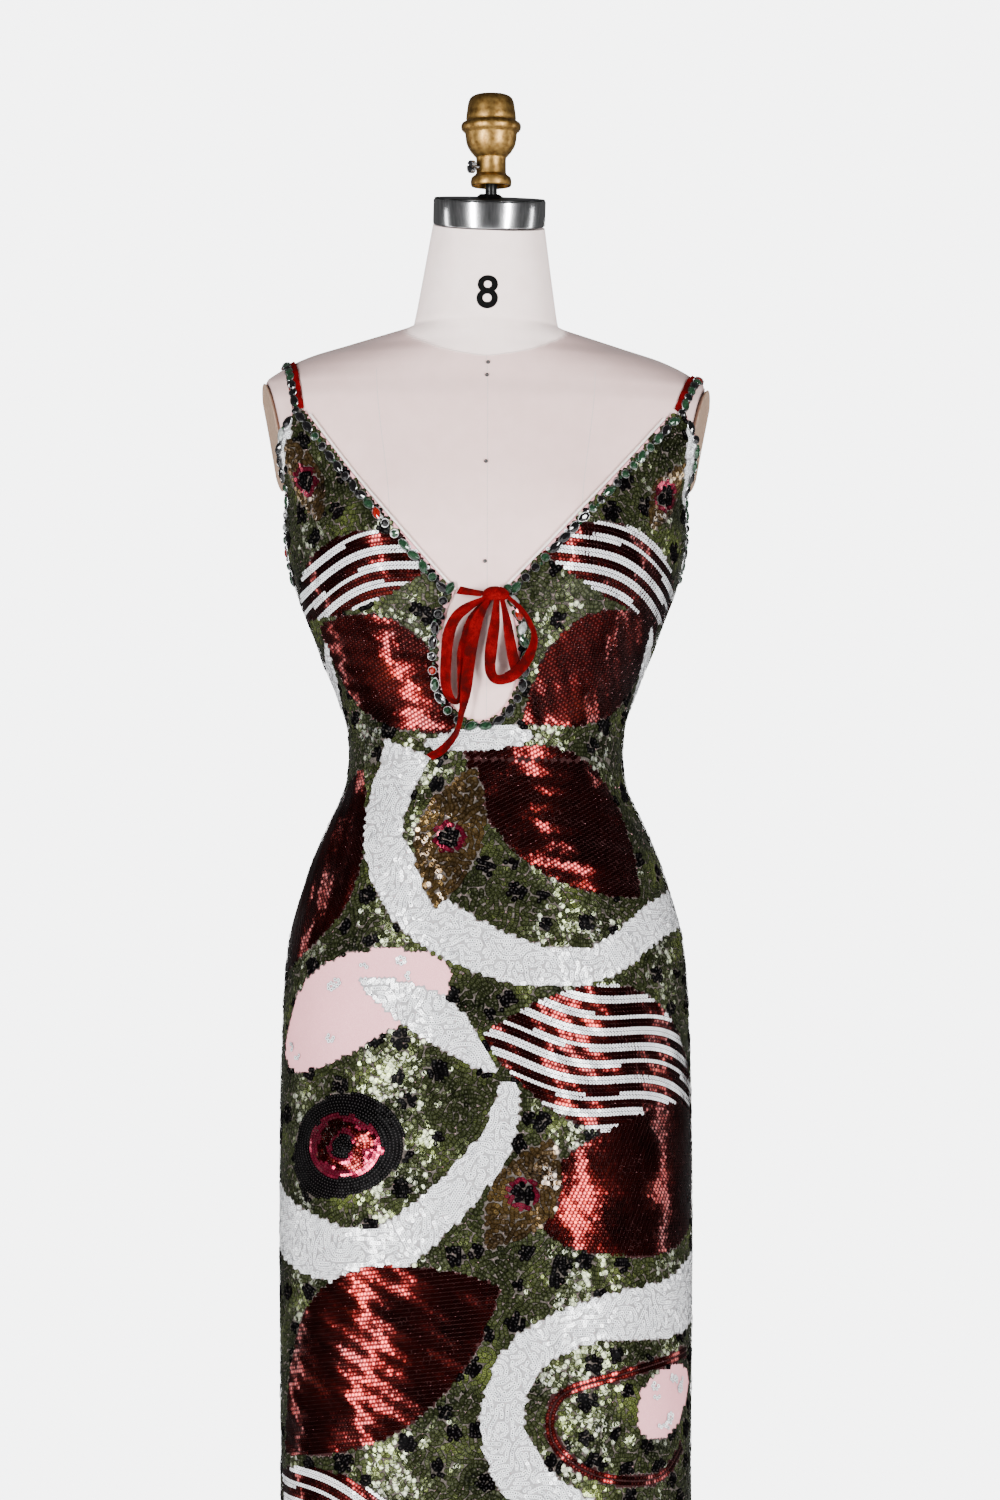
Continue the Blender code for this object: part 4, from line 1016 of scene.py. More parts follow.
def fillLine(index, outline, _):
    # two threads side by side along the middle of a narrow band
    look = sequinSizes["line"]
    half = len(outline) // 2
    middle = (outline[:half] + outline[half:][::-1]) / 2
    length = lengthAlong(middle)
    places = np.arange(0, length[-1], look["step"])
    path = readRows(middle, length, places)
    along = unit(np.gradient(path, axis=0))
    side = np.stack([-along[:, 1], along[:, 0]], 1) * look["aside"]
    head = np.arctan2(along[:, 1], along[:, 0])
    spots = np.concatenate([path + side, path - side])
    return (spots, np.concatenate([head, head]), np.full(len(spots), "burgundy", object),
            threadTurn(np.concatenate([places, places]), index, index))


def patchSequins():
    makers = {"rows": fillRows, "stripes": fillStripes, "rings": fillRings, "line": fillLine}
    found = []
    for index, (fill, _, outline, lean) in enumerate(patchPlan):
        if fill in makers:
            places, head, tint, turn = makers[fill](index, outline, lean)
            found.append((places, head, tint, np.full(len(places), index), turn))
    columns = [np.concatenate(column) for column in zip(*found)]
    keep = patchAt(*columns[0].T) == columns[3]
    return [column[keep] for column in columns]


def chainCells():
    # one triangular lattice for everything that is sewn in short winding chains
    cell, rise = sequinSizes["chainCell"], sequinSizes["chainCell"] * math.sqrt(0.75)
    acrossCount, upCount = int(2 * (backSeam.max() * 1000 + 6) / cell), int(1364 / rise)
    across, up = np.meshgrid(np.arange(acrossCount), np.arange(upCount), indexing="xy")
    s = (across.ravel() - acrossCount / 2 + 0.5 * (up.ravel() % 2)) * cell
    z = 30 + (up.ravel() + 0.5) * rise
    owner = patchAt(s, z)
    chained = np.array([fill == "chain" for fill, *_ in patchPlan] + [True])  # the last is the ground
    return s, z, owner, chained[owner], acrossCount, upCount


def latticePairs(acrossCount, upCount):
    # neighbours to the right, up to the right and up to the left, with the heading in sixths of a turn
    index = np.arange(acrossCount * upCount).reshape(upCount, acrossCount)
    even, odd = index[:-1:2], index[1:-1:2]
    overEven, overOdd = index[1::2], index[2::2]
    groups = (
        (index[:, :-1], index[:, 1:], 0),
        (even, overEven, 1), (odd[:, :-1], overOdd[:, 1:], 1),
        (even[:, 1:], overEven[:, :-1], 2), (odd, overOdd, 2),
    )
    rows = [np.stack([low.ravel(), high.ravel(), np.full(low.size, heading)], 1)
            for low, high, heading in groups]
    return np.concatenate(rows)


def chainOf(root, cell):
    # the cell that stands for the whole chain of this one
    while root[cell] != cell:
        root[cell] = root[root[cell]]
        cell = root[cell]
    return cell


def joinChains(s, z, owner, used, acrossCount, upCount):
    # short paths that cover the lattice: two joins a cell at most, no sharp turn and no closed loop
    pairs = latticePairs(acrossCount, upCount)
    low, high, heading = pairs.T
    flow = np.pi * softWaves((s[low] + s[high]) / 2, (z[low] + z[high]) / 2, *sequinWaves["flow"])
    against = -sequinLean["chainFlow"] * np.cos(2 * (heading * np.pi / 3 - flow))
    keep = used[low] & used[high] & (owner[low] == owner[high])
    order = np.argsort((dice.random(len(pairs)) + against)[keep])
    root = list(range(len(s)))
    joins = [[] for _ in range(len(s))]
    headings = [[] for _ in range(len(s))]
    for a, b, way in pairs[keep][order].tolist():
        if len(joins[a]) > 1 or len(joins[b]) > 1:
            continue
        if joins[a] and (headings[a][0] - way) % 6 in (1, 5):
            continue
        if joins[b] and (headings[b][0] - way - 3) % 6 in (1, 5):
            continue
        first, second = chainOf(root, a), chainOf(root, b)
        if first != second:
            root[first] = second
            joins[a].append(b)
            joins[b].append(a)
            headings[a].append(way)
            headings[b].append(way + 3)
    return joins


def chainSequins(cells):
    s, z, owner, used, acrossCount, upCount = cells
    joins = joinChains(s, z, owner, used, acrossCount, upCount)
    here = np.stack([s, z], 1) + dice.normal(0, sequinSizes["chainJitter"], (len(s), 2))
    first = np.array([j[0] if j else i for i, j in enumerate(joins)])
    second = np.array([j[1] if len(j) > 1 else i for i, j in enumerate(joins)])
    eased = 0.5 * here + 0.25 * here[first] + 0.25 * here[second]
    pairs = np.array([(i, k) for i, j in enumerate(joins) for k in j if i < k])
    step = eased[pairs[:, 1]] - eased[pairs[:, 0]]
    between = eased[pairs].mean(1)
    headOf = np.arctan2(*(eased[second] - eased[first])[:, ::-1].T)
    spots = np.concatenate([eased[used], between])
    heads = np.concatenate([headOf[used], np.arctan2(step[:, 1], step[:, 0])])
    owners = np.concatenate([owner[used], owner[pairs[:, 0]]])
    names = np.array([foil for _, foil, *_ in patchPlan] + ["moss"], object)
    tips = 0.7 * softWaves(*spots.T, *sequinWaves["tips"]) + dice.normal(0, 0.22, len(spots))
    return spots, heads, names[owners], owners, tips


def strewSequins():
    # a few stray white loops where a bare patch meets its neighbours
    look = sequinSizes["strewn"]
    wide, tall = look["half"]
    spots, heads = [], []
    for outline in [outline for fill, _, outline, _ in patchPlan if fill == "bare"]:
        middle = (outline.min(0) + outline.max(0)) / 2
        for _ in range(look["loops"]):
            edge = outline[dice.integers(len(outline))]
            centre = edge + (middle - edge) * dice.uniform(*look["inward"])
            turn = np.linspace(0, 2 * np.pi, 7)[:dice.integers(*look["discs"])] + dice.uniform(0, 6)
            spots.append(centre + np.stack([np.cos(turn) * wide, np.sin(turn) * tall], 1))
            heads.append(turn + np.pi / 2)
    spots, heads = np.concatenate(spots), np.concatenate(heads)
    count = len(spots)
    return spots, heads, np.full(count, "white", object), np.full(count, -1), np.zeros(count)


def addClusters(spots, foils, owners):
    # round black clusters among the moss, a dark eye in each bronze leaf
    look, eye = sequinSizes["cluster"], sequinSizes["eye"]
    across, up = np.meshgrid(np.arange(-500, 500, look["step"]), np.arange(30, 1400, look["step"]))
    shift = dice.uniform(-look["shift"], look["shift"], (across.size, 2))
    centres = np.stack([across.ravel(), up.ravel()], 1) + shift
    centres = centres[dice.random(len(centres)) < look["share"]]
    radii = dice.uniform(*look["radius"], len(centres))
    for centre, radius in zip(centres, radii):
        near = (np.abs(spots[:, 0] - centre[0]) < radius) & (np.abs(spots[:, 1] - centre[1]) < radius)
        ragged = dice.uniform(*look["ragged"], near.sum())
        near[near] = np.linalg.norm(spots[near] - centre, axis=1) < radius * ragged
        foils[near & (foils == "moss")] = "black"
    for index, (_, foil, outline, _) in enumerate(patchPlan):
        if foil == "bronze":
            apart = np.linalg.norm(spots - (outline.min(0) + outline.max(0)) / 2, axis=1)
            foils[(owners == index) & (apart < eye["dark"])] = "black"
            foils[(owners == index) & (apart >= eye["dark"]) & (apart < eye["ring"])] = "rose"


def pathGap(points, path):
    # distance from many points to a dense path, a slice at a time
    gaps = []
    for start in range(0, len(points), 4000):
        apart = points[start:start + 4000, None] - path[None]
        gaps.append(np.sqrt((apart ** 2).sum(2)).min(1))
    return np.concatenate(gaps) if gaps else np.zeros(0)


def clothRoom(s, z, seams=True):
    # how far inside the cut edges of its panel a point lies, metres
    side, back = np.interp(z, flatHeights, sideSeam), np.interp(z, flatHeights, backSeam)
    turn = turnAt(s, z)
    room = z - body["hem"]
    if seams:
        room = np.minimum(room, np.abs(z - body["waist"]))
        room = np.minimum(room, np.abs(np.abs(s) - side) + sequinSeat["seamRoom"])
    behind = np.abs(s) > side
    room = np.where(behind, np.minimum(room, np.minimum(back - np.abs(s), body["sideTop"] - z)), room)
    sign = np.where(s > 0, 1, -1)
    for which in (1, -1):
        arm = (~behind) & (sign == which) & (z > body["sideTop"] - 0.01)
        limit = np.pi / 2 - armholeTurn(z[arm], which)
        room[arm] = np.minimum(room[arm], (limit - np.abs(turn[arm])) * arcRadius)
    # the front of the bodice, measured to the edges of the V and the keyhole
    middle = np.nonzero((~behind) & (z > body["waist"]))[0]
    height = z[middle]
    x = roundPoint(turn[middle], height)[:, 0]
    shift = openingShift(height)
    for which in (1, -1):
        edge = innerEdge(which)[netCut["seamRows"]:]
        path = readRows(edge, np.linspace(0, 1, len(edge)), np.linspace(0, 1, 500))
        path[:, 0] = openingShift(path[:, 1]) + which * path[:, 0]
        mine = (x - shift) * which > -0.002
        flat = np.stack([x[mine], height[mine]], 1)
        room[middle[mine]] = np.minimum(room[middle[mine]], pathGap(flat, path))
    neck = np.where(x > shift, necklineHalf(height, 1), necklineHalf(height, -1))
    half = np.where(height > opening["top"], neck, keyholeHalf(height))
    inside = (height > opening["low"]) & (np.abs(x - shift) < half)
    room[middle[inside]] = -1
    room[z > body["cupTop"]] = -1
    return room, behind


def sequinDiscs(name, spots, heads, tone, size, tilt, turns, wobble, foil, lift, corners):
    # flat foil discs in one mesh, each tipped along its thread
    count = len(spots)
    s, z = spots.T
    middle = clothPoint(s, z, sequinSeat["out"])
    step = sequinSeat["ahead"]
    ahead = clothPoint(s + np.cos(heads) * step, z + np.sin(heads) * step, sequinSeat["out"])
    normal = outwardNormal(middle)
    along = unit(ahead - middle)
    along = unit(along - normal * (along * normal).sum(1, keepdims=True))
    across = np.cross(normal, along)
    patch = sequinLean["patchWobble"] * (wobble > 0)
    thread = sequinLean["threadTurn"] * turns
    tipAlong = np.radians(tilt + thread + dice.normal(0, 1, count) * wobble
                          + patch * softWaves(s * 1000, z * 1000, *sequinWaves["along"]))
    tipAcross = np.radians(sequinLean["acrossShare"] * thread + dice.normal(0, 1, count) * wobble
                           + patch * softWaves(s * 1000, z * 1000, *sequinWaves["across"]))
    facing = unit(normal + along * np.tan(tipAlong)[:, None] + across * np.tan(tipAcross)[:, None])
    along = unit(along - facing * (along * facing).sum(1, keepdims=True))
    across = np.cross(facing, along)
    turn = np.linspace(0, 2 * np.pi, corners, endpoint=False) + np.pi / corners
    cos, sin = np.cos(turn), np.sin(turn)
    ring = (along[:, None] * cos[:, None] + across[:, None] * sin[:, None]) * (size / 2)[:, None, None]
    off = lift + dice.uniform(0, sequinSeat["spread"], count)
    points = (middle + normal * off[:, None])[:, None] + ring
    mesh = bpy.data.meshes.new(name)
    mesh.vertices.add(count * corners)
    mesh.vertices.foreach_set("co", points.astype(np.float32).ravel())
    mesh.loops.add(count * corners)
    mesh.loops.foreach_set("vertex_index", np.arange(count * corners, dtype=np.int32))
    mesh.polygons.add(count)
    mesh.polygons.foreach_set("loop_start", np.arange(0, count * corners, corners, dtype=np.int32))
    mesh.update(calc_edges=True)
    setUv(mesh, "disc", np.tile(0.5 + 0.5 * np.stack([cos, sin], 1), (count, 1)))
    pointValues(mesh, "tone", np.repeat(tone, corners))
    piece = newObject(name, mesh)
    settle(piece, foil)


def addUnderlay(part, spots, finish):
    # small dark squares under the chains: painted shade standing in for the shadow and overlap of the discs, so
    # that the pale net doesn't show bright between them
    heads, none = dice.uniform(0, 3, len(spots)), np.zeros(len(spots))
    sequinDiscs(finish + "_" + part, spots / 1000, heads, none, none + sequinSizes["underSize"] / 1000,
                none, none, none, finish, none + sequinSeat["underLift"], sequinSeat["underCorners"])


def bodyParts(behind, spots):
    upper = spots[:, 1] > body["waist"] * 1000
    return {
        "skirt_front": ~behind & ~upper, "skirt_back": behind & ~upper,
        "bodice_front": ~behind & upper, "bodice_back": behind & upper,
    }


def foilTone(spots, foils):
    # each disc's place between the dark and the light of its foil
    field = {name: softWaves(*spots.T, *sequinWaves[name]) for name in ("foil", "moss", "white")}
    tone = 0.36 + 0.25 * field["foil"] + dice.normal(0, 0.08, len(spots))
    # moss discs lifted towards lime in broad patches: partly the foil's own varying tone, partly painted light
    # shining through the foil
    tone = np.where(foils == "moss", tone + 0.45 * np.clip(field["moss"] - 0.45, 0, 1), tone)
    pale = 0.56 + 0.10 * field["white"] + dice.normal(0, 0.10, len(spots))
    return np.clip(np.where(foils == "white", pale, tone), 0, 1)


def addSequins():
    cells = chainCells()
    layers = [patchSequins(), chainSequins(cells), strewSequins()]
    spots, heads, foils, owners, turns = (np.concatenate(column) for column in zip(*layers))
    chained = np.arange(len(spots)) >= len(layers[0][0])  # all but the patches in rows
    addClusters(spots, foils, owners)
    room, behind = clothRoom(*spots.T / 1000)
    keep = room > sequinSeat["edgeRoom"]
    spots, heads, foils, turns, chained, behind = (
        column[keep] for column in (spots, heads, foils, turns, chained, behind))
    tone = foilTone(spots, foils)
    size = np.where(chained, sequinSizes["chainSize"], sequinSizes["rowSize"]) / 1000
    size = np.where(chained & (foils != "white"), sequinSizes["foilSize"] / 1000, size)
    tilt = np.where(chained, sequinLean["chainTilt"], sequinLean["rowTilt"])
    wobble = np.where(chained, sequinLean["chainWobble"], sequinLean["rowWobble"])
    lift = np.where(foils == "black", sequinSeat["blackLift"], 0.0)
    for part, inPart in bodyParts(behind, spots).items():
        for foil in sequinLooks:
            pick = inPart & (foils == foil)
            if pick.any():
                sequinDiscs("sequins_" + foil + "_" + part, spots[pick] / 1000, heads[pick], tone[pick],
                            size[pick], tilt[pick], turns[pick], wobble[pick], foil, lift[pick],
                            sequinSeat["corners"])
    print("sequins in all", len(spots))
    addUnderlays(cells)


def addUnderlays(cells):
    s, z, owner = cells[:3]
    # painted shade under every covered patch, dark red under red foil and grey under white
    covered = np.array([fill != "bare" for fill, *_ in patchPlan] + [True])[owner]
    lattice = np.stack([s, z], 1)[covered]
    shadeFinishes = {"white": "paintedShadeWhite", "burgundy": "paintedShadeRed"}
    finish = np.array([shadeFinishes.get(foil, "under") for _, foil, *_ in patchPlan] + ["under"])[owner[covered]]
    room, behind = clothRoom(*lattice.T / 1000, seams=False)
    for part, inPart in bodyParts(behind, lattice).items():
        for name in ("under", "paintedShadeRed", "paintedShadeWhite"):
            pick = inPart & (room > sequinSeat["underRoom"]) & (finish == name)
            if pick.any():
                addUnderlay(part, lattice[pick], name)


addSequins()

# linen form with its sewn lines, pins and numeral
formMake = {
    "columns": 160, "rowBreaks": (1.36, 1.48), "rowCounts": (99, 75, 33),
    "seamRadius": 0.00045, "seamSink": 0.00022,
    "neckSeam": (1.4360, 1.4700),  # height at the front and at the sides
    "centreSeam": (1.10, 1.555, 0.004),  # foot, top behind, and how far aside it runs in front
    "shoulderSeam": (1.62, 1.400, 1.466),  # turn, foot, top
    "sideFront": (1.26, 1.425, 0.083, 0.013),  # foot, top, how far aside, and how much further at the top
    "pins": ((0.0019, 1.4298), (0.0010, 1.4179), (0.0002, 1.3386), (-0.0006, 1.2504)),
    "pinSize": 0.0017, "pinDepth": 0.75, "pinOut": 0.55,
    "numeral": {"size": 0.0478, "narrow": 0.83, "middle": (0.0007, 1.4966), "bold": 0.00095,
                "thickness": 0.0003, "out": 0.0002},
}


def tiltNeck(points):
    bend, top, lean, pitch, roll = body["neck"]
    share = smoothShare(points[..., 2], bend, top)
    fall = points[..., 1] * math.tan(math.radians(pitch)) - points[..., 0] * math.tan(math.radians(roll))
    sideways = lean * np.maximum(points[..., 2] - bend, 0)
    return np.stack([points[..., 0] + sideways, points[..., 1], points[..., 2] + fall * share], -1)


def armLimit(y, z):
    # how far from the middle the form is cut off at the arm
    across, height, slope, yaw, yawEnd = body["armCut"]
    return across + slope * (z - height) + yaw * np.minimum(y, yawEnd)


def formPoint(turn, z, out=0.0):
    points = roundPoint(turn, z, out, "form")
    limit = armLimit(points[..., 1], points[..., 2])
    points[..., 0] = np.clip(points[..., 0], -limit, limit)
    return tiltNeck(points)


def neckSeamHeight(turn):
    # the neck's sewn base: low in front, high at the sides and the back
    front, side = formMake["neckSeam"]
    return np.where(np.abs(turn) < np.pi / 2, front + (side - front) * np.sin(np.abs(turn)) ** 1.2, side)


def formAtX(x, z, out=0.0):
    # a point of the form's front at a distance from the centre
    return formPoint(turnAtX(x, z, out, "form"), z, out)


def addForm():
    turns = np.linspace(-np.pi, np.pi, formMake["columns"], endpoint=False)
    stops = (body["bottom"], *formMake["rowBreaks"], body["neck"][1])
    parts = [np.linspace(low, high, count + 1)[:-1]
             for low, high, count in zip(stops, stops[1:], formMake["rowCounts"])]
    heights = np.concatenate([*parts, stops[-1:]])
    grid = formPoint(turns[None], heights[:, None])
    piece = meshPiece("form_linen", grid.reshape(-1, 3), closedFaces(*grid.shape[:2]), "linen",
                      edgeAngle=50)
    # paler linen above the neck seam, partly its own colour and partly painted light
    above = smoothShare(heights[:, None] - neckSeamHeight(turns)[None], -0.0008, 0.0008)
    pointValues(piece.data, "neck", above)
    # painted shade: darker where the cloth faces upward and outward
    normal = outwardNormal(grid.reshape(-1, 3), "form")
    shadeAmount = smoothShare(normal[:, 2] + 0.35 * np.abs(normal[:, 0]), 0.30, 1.15) * (grid[..., 2].ravel() > 1.2)
    pointValues(piece.data, "paintedShade", shadeAmount * (1 - above.ravel()))
    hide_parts("form_torso")


def addSeams():
    # sewn lines of the form: centre front and back, neck base, shoulders and side fronts
    foot, top, aside = formMake["centreSeam"]
    turn = np.linspace(-np.pi, np.pi, 160)
    lines = {
        "centre_front": formPoint(aside, np.linspace(foot, formMake["neckSeam"][0], 120)),
        "centre_back": formPoint(np.pi, np.linspace(foot, top, 120)),
        "neck_base": formPoint(turn, neckSeamHeight(turn)),
    }
    for side, sign in bothSides:
        turn, foot, top = formMake["shoulderSeam"]
        lines["shoulder_" + side] = formPoint(sign * turn, np.linspace(foot, top, 60))
        foot, top, aside, further = formMake["sideFront"]
        z = np.linspace(foot, top, 120)
        lines["side_front_" + side] = formAtX(sign * (aside + further * smoothShare(z, 1.28, 1.43)), z)
    for name, path in lines.items():
        normals = outwardNormal(path, "form")
        piece = tubePiece("seam_" + name, path - normals * formMake["seamSink"], formMake["seamRadius"],
                          "seam", 6, normals)
        piece.data.shade_smooth()


def addPins():
    size = formMake["pinSize"]
    for number, (x, z) in enumerate(formMake["pins"]):
        place = formAtX(np.array(x), np.array(z))
        bpy.ops.object.select_all(action="DESELECT")
        bpy.ops.mesh.primitive_uv_sphere_add(segments=20, ring_count=12, radius=size)
        pin = bpy.context.object
        pin.name = "pin_%d" % (number + 1)
        resizeMesh((1, formMake["pinDepth"], 1))
        bpy.ops.object.shade_smooth()
        pin.data.transform(Matrix.Translation(Vector(place) + Vector((0, -size * formMake["pinOut"], 0))))
        settle(pin, "pin")


def addNumeral():
    # plain size numeral on the neck, from the built-in font
    look = formMake["numeral"]
    bpy.ops.object.select_all(action="DESELECT")
    bpy.ops.object.text_add()
    text = bpy.context.object
    text.name = "size_numeral"
    text.data.body = "8"
    text.data.size = look["size"]
    text.data.offset = look["bold"]
    text.data.align_x = "CENTER"
    text.data.resolution_u = 6
    bpy.ops.object.convert(target="MESH")
    bpy.ops.object.mode_set(mode="EDIT")
    bpy.ops.mesh.select_all(action="SELECT")
    bpy.ops.mesh.quads_convert_to_tris()
    bpy.ops.mesh.subdivide(number_cuts=3)
    bpy.ops.object.mode_set(mode="OBJECT")
    flat = readPoints(text.data)[:, :2]
    flat -= (flat.min(0) + flat.max(0)) / 2
    x, z = flat[:, 0] * look["narrow"] + look["middle"][0], flat[:, 1] + look["middle"][1]
    placed = formAtX(x, z, look["out"])
    text.data.vertices.foreach_set("co", placed.ravel())
    thick = text.modifiers.new("ink", "SOLIDIFY")
    thick.thickness = look["thickness"]
    thick.offset = 1
    applyAll(text)
    tidyNormals(text)
    settle(text, "ink")


addForm()
addSeams()
addPins()
addNumeral()
print("form done")

# neck band, cap, finial and its screw, turned finer than the solids
fittings = {
    "segments": 96, "edgeAngle": 32, "axis": (0.0045, -0.0064), "finialFoot": 1.5945, "finialGrow": 0.45,
    # radius and rise over the foot in millimetres, from the hollow underside round the outside to the top
    "finial": (
        (6.4, 5.0), (14.4, 5.0), (15.3, 0.4), (16.9, 0.3), (17.5, 1.2), (17.7, 2.4), (17.7, 5.4), (17.0, 8.0),
        (15.2, 9.6), (13.2, 11.2), (12.9, 12.6), (12.8, 23.6), (13.0, 25.6), (13.5, 26.3), (14.6, 27.4),
        (17.6, 30.9), (20.4, 35.5), (21.5, 38.8), (22.1, 42.0), (22.6, 47.0), (23.2, 48.2), (25.0, 49.7),
        (25.9, 51.2), (26.3, 53.2), (26.1, 55.2), (25.3, 56.8), (23.6, 58.0), (22.1, 58.6), (21.7, 59.6),
        (21.9, 61.0), (21.5, 65.0), (20.8, 70.0), (20.0, 75.2), (18.6, 78.8), (16.6, 80.8), (13.4, 82.2),
        (8.0, 83.1), (0.0, 83.4)),
    # radius in millimetres and height in metres
    "rod": ((0.0, 1.5800), (5.3, 1.5800), (5.3, 1.6000), (0.0, 1.6000)),
    # radius in millimetres and share of the band's height
    "band": ((46.5, 0.0), (49.4, 0.0), (49.8, 0.02), (50.0, 0.05), (50.0, 0.95), (49.8, 0.98), (49.4, 1.0),
             (46.5, 1.0)),
    # radius and rise over the band in millimetres
    "cap": ((49.2, 0.2), (49.3, 1.0), (48.8, 1.5), (14.5, 1.7), (12.5, 2.2), (9.5, 4.6), (8.6, 5.3), (0.0, 5.3)),
    "bandFoot": 1.5608, "bandHeight": 0.0222, "bandAxis": (0.0026, -0.0004), "topAxis": (0.0033, -0.0040),
    "footPitch": 12.4, "topPitch": 10.7, "roll": 1.4,
    "screw": {
        "turn": 207.0, "twist": 62.0, "height": 0.0165, "stand": 0.0172, "radius": 0.0056, "thick": 0.0042,
        "knurls": 24, "knurlDepth": 0.035, "slot": (0.0016, 0.014, 0.0032), "rim": 0.0004,
        "shank": 0.0026, "shankFrom": 0.0105, "sunk": 0.0002,
    },
}


def turnedPiece(name, profile, finish):
    # a profile of radius and height spun about the upright axis
    mesh = bpy.data.meshes.new(name)
    mesh.from_pydata([(radius / 1000, 0, height) for radius, height in profile],
                     [(i, i + 1) for i in range(len(profile) - 1)], [])
    piece = newObject(name, mesh)
    spin = piece.modifiers.new("spin", "SCREW")
    spin.steps = spin.render_steps = fittings["segments"]
    spin.use_merge_vertices = True
    spin.merge_threshold = 0.000001
    applyAll(piece)
    tidyNormals(piece)
    mesh.shade_smooth()
    mesh.set_sharp_from_angle(angle=math.radians(fittings["edgeAngle"]))
    settle(piece, finish)
    return piece


def tipRing(piece, heightOf):
    # the neck's ring and cap lean with the neck
    x, y, level = readPoints(piece.data).T
    share = np.clip(level, 0, 1)
    pitch = fittings["footPitch"] + (fittings["topPitch"] - fittings["footPitch"]) * share
    foot, top = np.array(fittings["bandAxis"]), np.array(fittings["topAxis"])
    rise = y * np.sin(np.radians(pitch)) - x * math.tan(math.radians(fittings["roll"]))
    placed = np.stack([
        x + foot[0] + (top[0] - foot[0]) * share,
        y * np.cos(np.radians(pitch)) + foot[1] + (top[1] - foot[1]) * share,
        fittings["bandFoot"] + heightOf(level) + rise,
    ], 1)
    piece.data.vertices.foreach_set("co", placed.ravel())
    tidyNormals(piece)


def addFittings():
    height = fittings["bandHeight"]
    band = turnedPiece("steel_band", fittings["band"], "steel")
    tipRing(band, lambda level: level * height)
    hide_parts("neck_band")
    capProfile = [(radius, 1 + rise / 1000) for radius, rise in fittings["cap"]]
    cap = turnedPiece("black_cap", capProfile, "blackCap")
    tipRing(cap, lambda level: height + level - 1)
    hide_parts("neck_cap")
    x, y = fittings["axis"]
    rod = turnedPiece("black_rod", fittings["rod"], "blackCap")
    rod.data.transform(Matrix.Translation((x, y, 0)))
    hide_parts("finial_rod")
    foot, grow = fittings["finialFoot"], fittings["finialGrow"]
    profile = [(radius + grow * (radius > 0), foot + rise / 1000) for radius, rise in fittings["finial"]]
    finial = turnedPiece("brass_finial", profile, "brass")
    finial.data.transform(Matrix.Translation((x, y, 0)))
    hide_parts("finial")
    addScrew(Vector((x, y, foot + fittings["screw"]["height"])))


def addScrew(middle):
    # slotted, finely knurled screw head
    look = fittings["screw"]
    thick = look["thick"]
    bpy.ops.object.select_all(action="DESELECT")
    bpy.ops.mesh.primitive_cylinder_add(vertices=48, radius=look["radius"], depth=thick)
    head = bpy.context.object
    head.name = "finial_screw"
    for vertex in head.data.vertices:
        turn = math.atan2(vertex.co.y, vertex.co.x)
        vertex.co.xy *= 1 + look["knurlDepth"] * math.cos(look["knurls"] * turn)
    bpy.ops.mesh.primitive_cube_add(size=1, location=(0, 0, thick / 2))
    slot = bpy.context.object
    resizeMesh(look["slot"])
    cut = head.modifiers.new("slot", "BOOLEAN")
    cut.operation = "DIFFERENCE"
    cut.object = slot
    rim = head.modifiers.new("rim", "BEVEL")
    rim.width = look["rim"]
    rim.segments = 2
    applyAll(head)
    bpy.data.objects.remove(slot)
    reach = look["stand"] - look["shankFrom"]
    bpy.ops.mesh.primitive_cylinder_add(vertices=32, radius=look["shank"], depth=reach,
                                        location=(0, 0, -thick / 2 - reach / 2 + look["sunk"]))
    joinTo(head)
    outward = Vector((math.cos(math.radians(look["turn"])), math.sin(math.radians(look["turn"])), 0))
    aim = outward.to_track_quat("Z", "Y").to_matrix().to_4x4()
    head.data.transform(Matrix.Translation(middle + outward * (look["stand"] + thick / 2)) @ aim
                        @ Matrix.Rotation(math.radians(look["twist"]), 4, "Z"))
    settle(head, "screw")
    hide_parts("set_screw")


addFittings()

# the stand's solids keep their shape and get their finish
for node in ("stand_pole", "stand_socket", "stand_base", "form_flange"):
    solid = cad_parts[node]
    solid.data.materials.clear()
    solid.data.materials.append(finishes["stand"])

# dished arm plates
armPlate = {
    "depth": 0.044, "height": 0.048, "middle": 1.371, "turns": 72,
    # share of the radius, and millimetres off the cut
    "profile": ((0.02, 0.9), (0.30, 1.0), (0.55, 1.3), (0.75, 1.9), (0.88, 2.9), (0.94, 3.7),
                (0.975, 3.9), (0.995, 3.5), (1.0, 2.7), (0.985, 1.9), (0.95, 1.5), (0.93, 0.2)),
}


def addPlates():
    turn = np.linspace(0, 2 * np.pi, armPlate["turns"], endpoint=False)
    for side, sign in bothSides:
        rings = []
        for share, out in armPlate["profile"]:
            y = armPlate["depth"] * share * np.cos(turn)
            z = armPlate["middle"] + armPlate["height"] * share * np.sin(turn)
            x = sign * (armLimit(y, z) + out / 1000)
            rings.append(np.stack([x, y, z - shoulderDrop(x, z)], -1))
        piece = meshPiece("arm_plate_dish_" + side, np.concatenate(rings), closedFaces(len(rings), len(turn)),
                          "plate", edgeAngle=35)
        tidyNormals(piece)
        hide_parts("arm_plate_" + side)


addPlates()

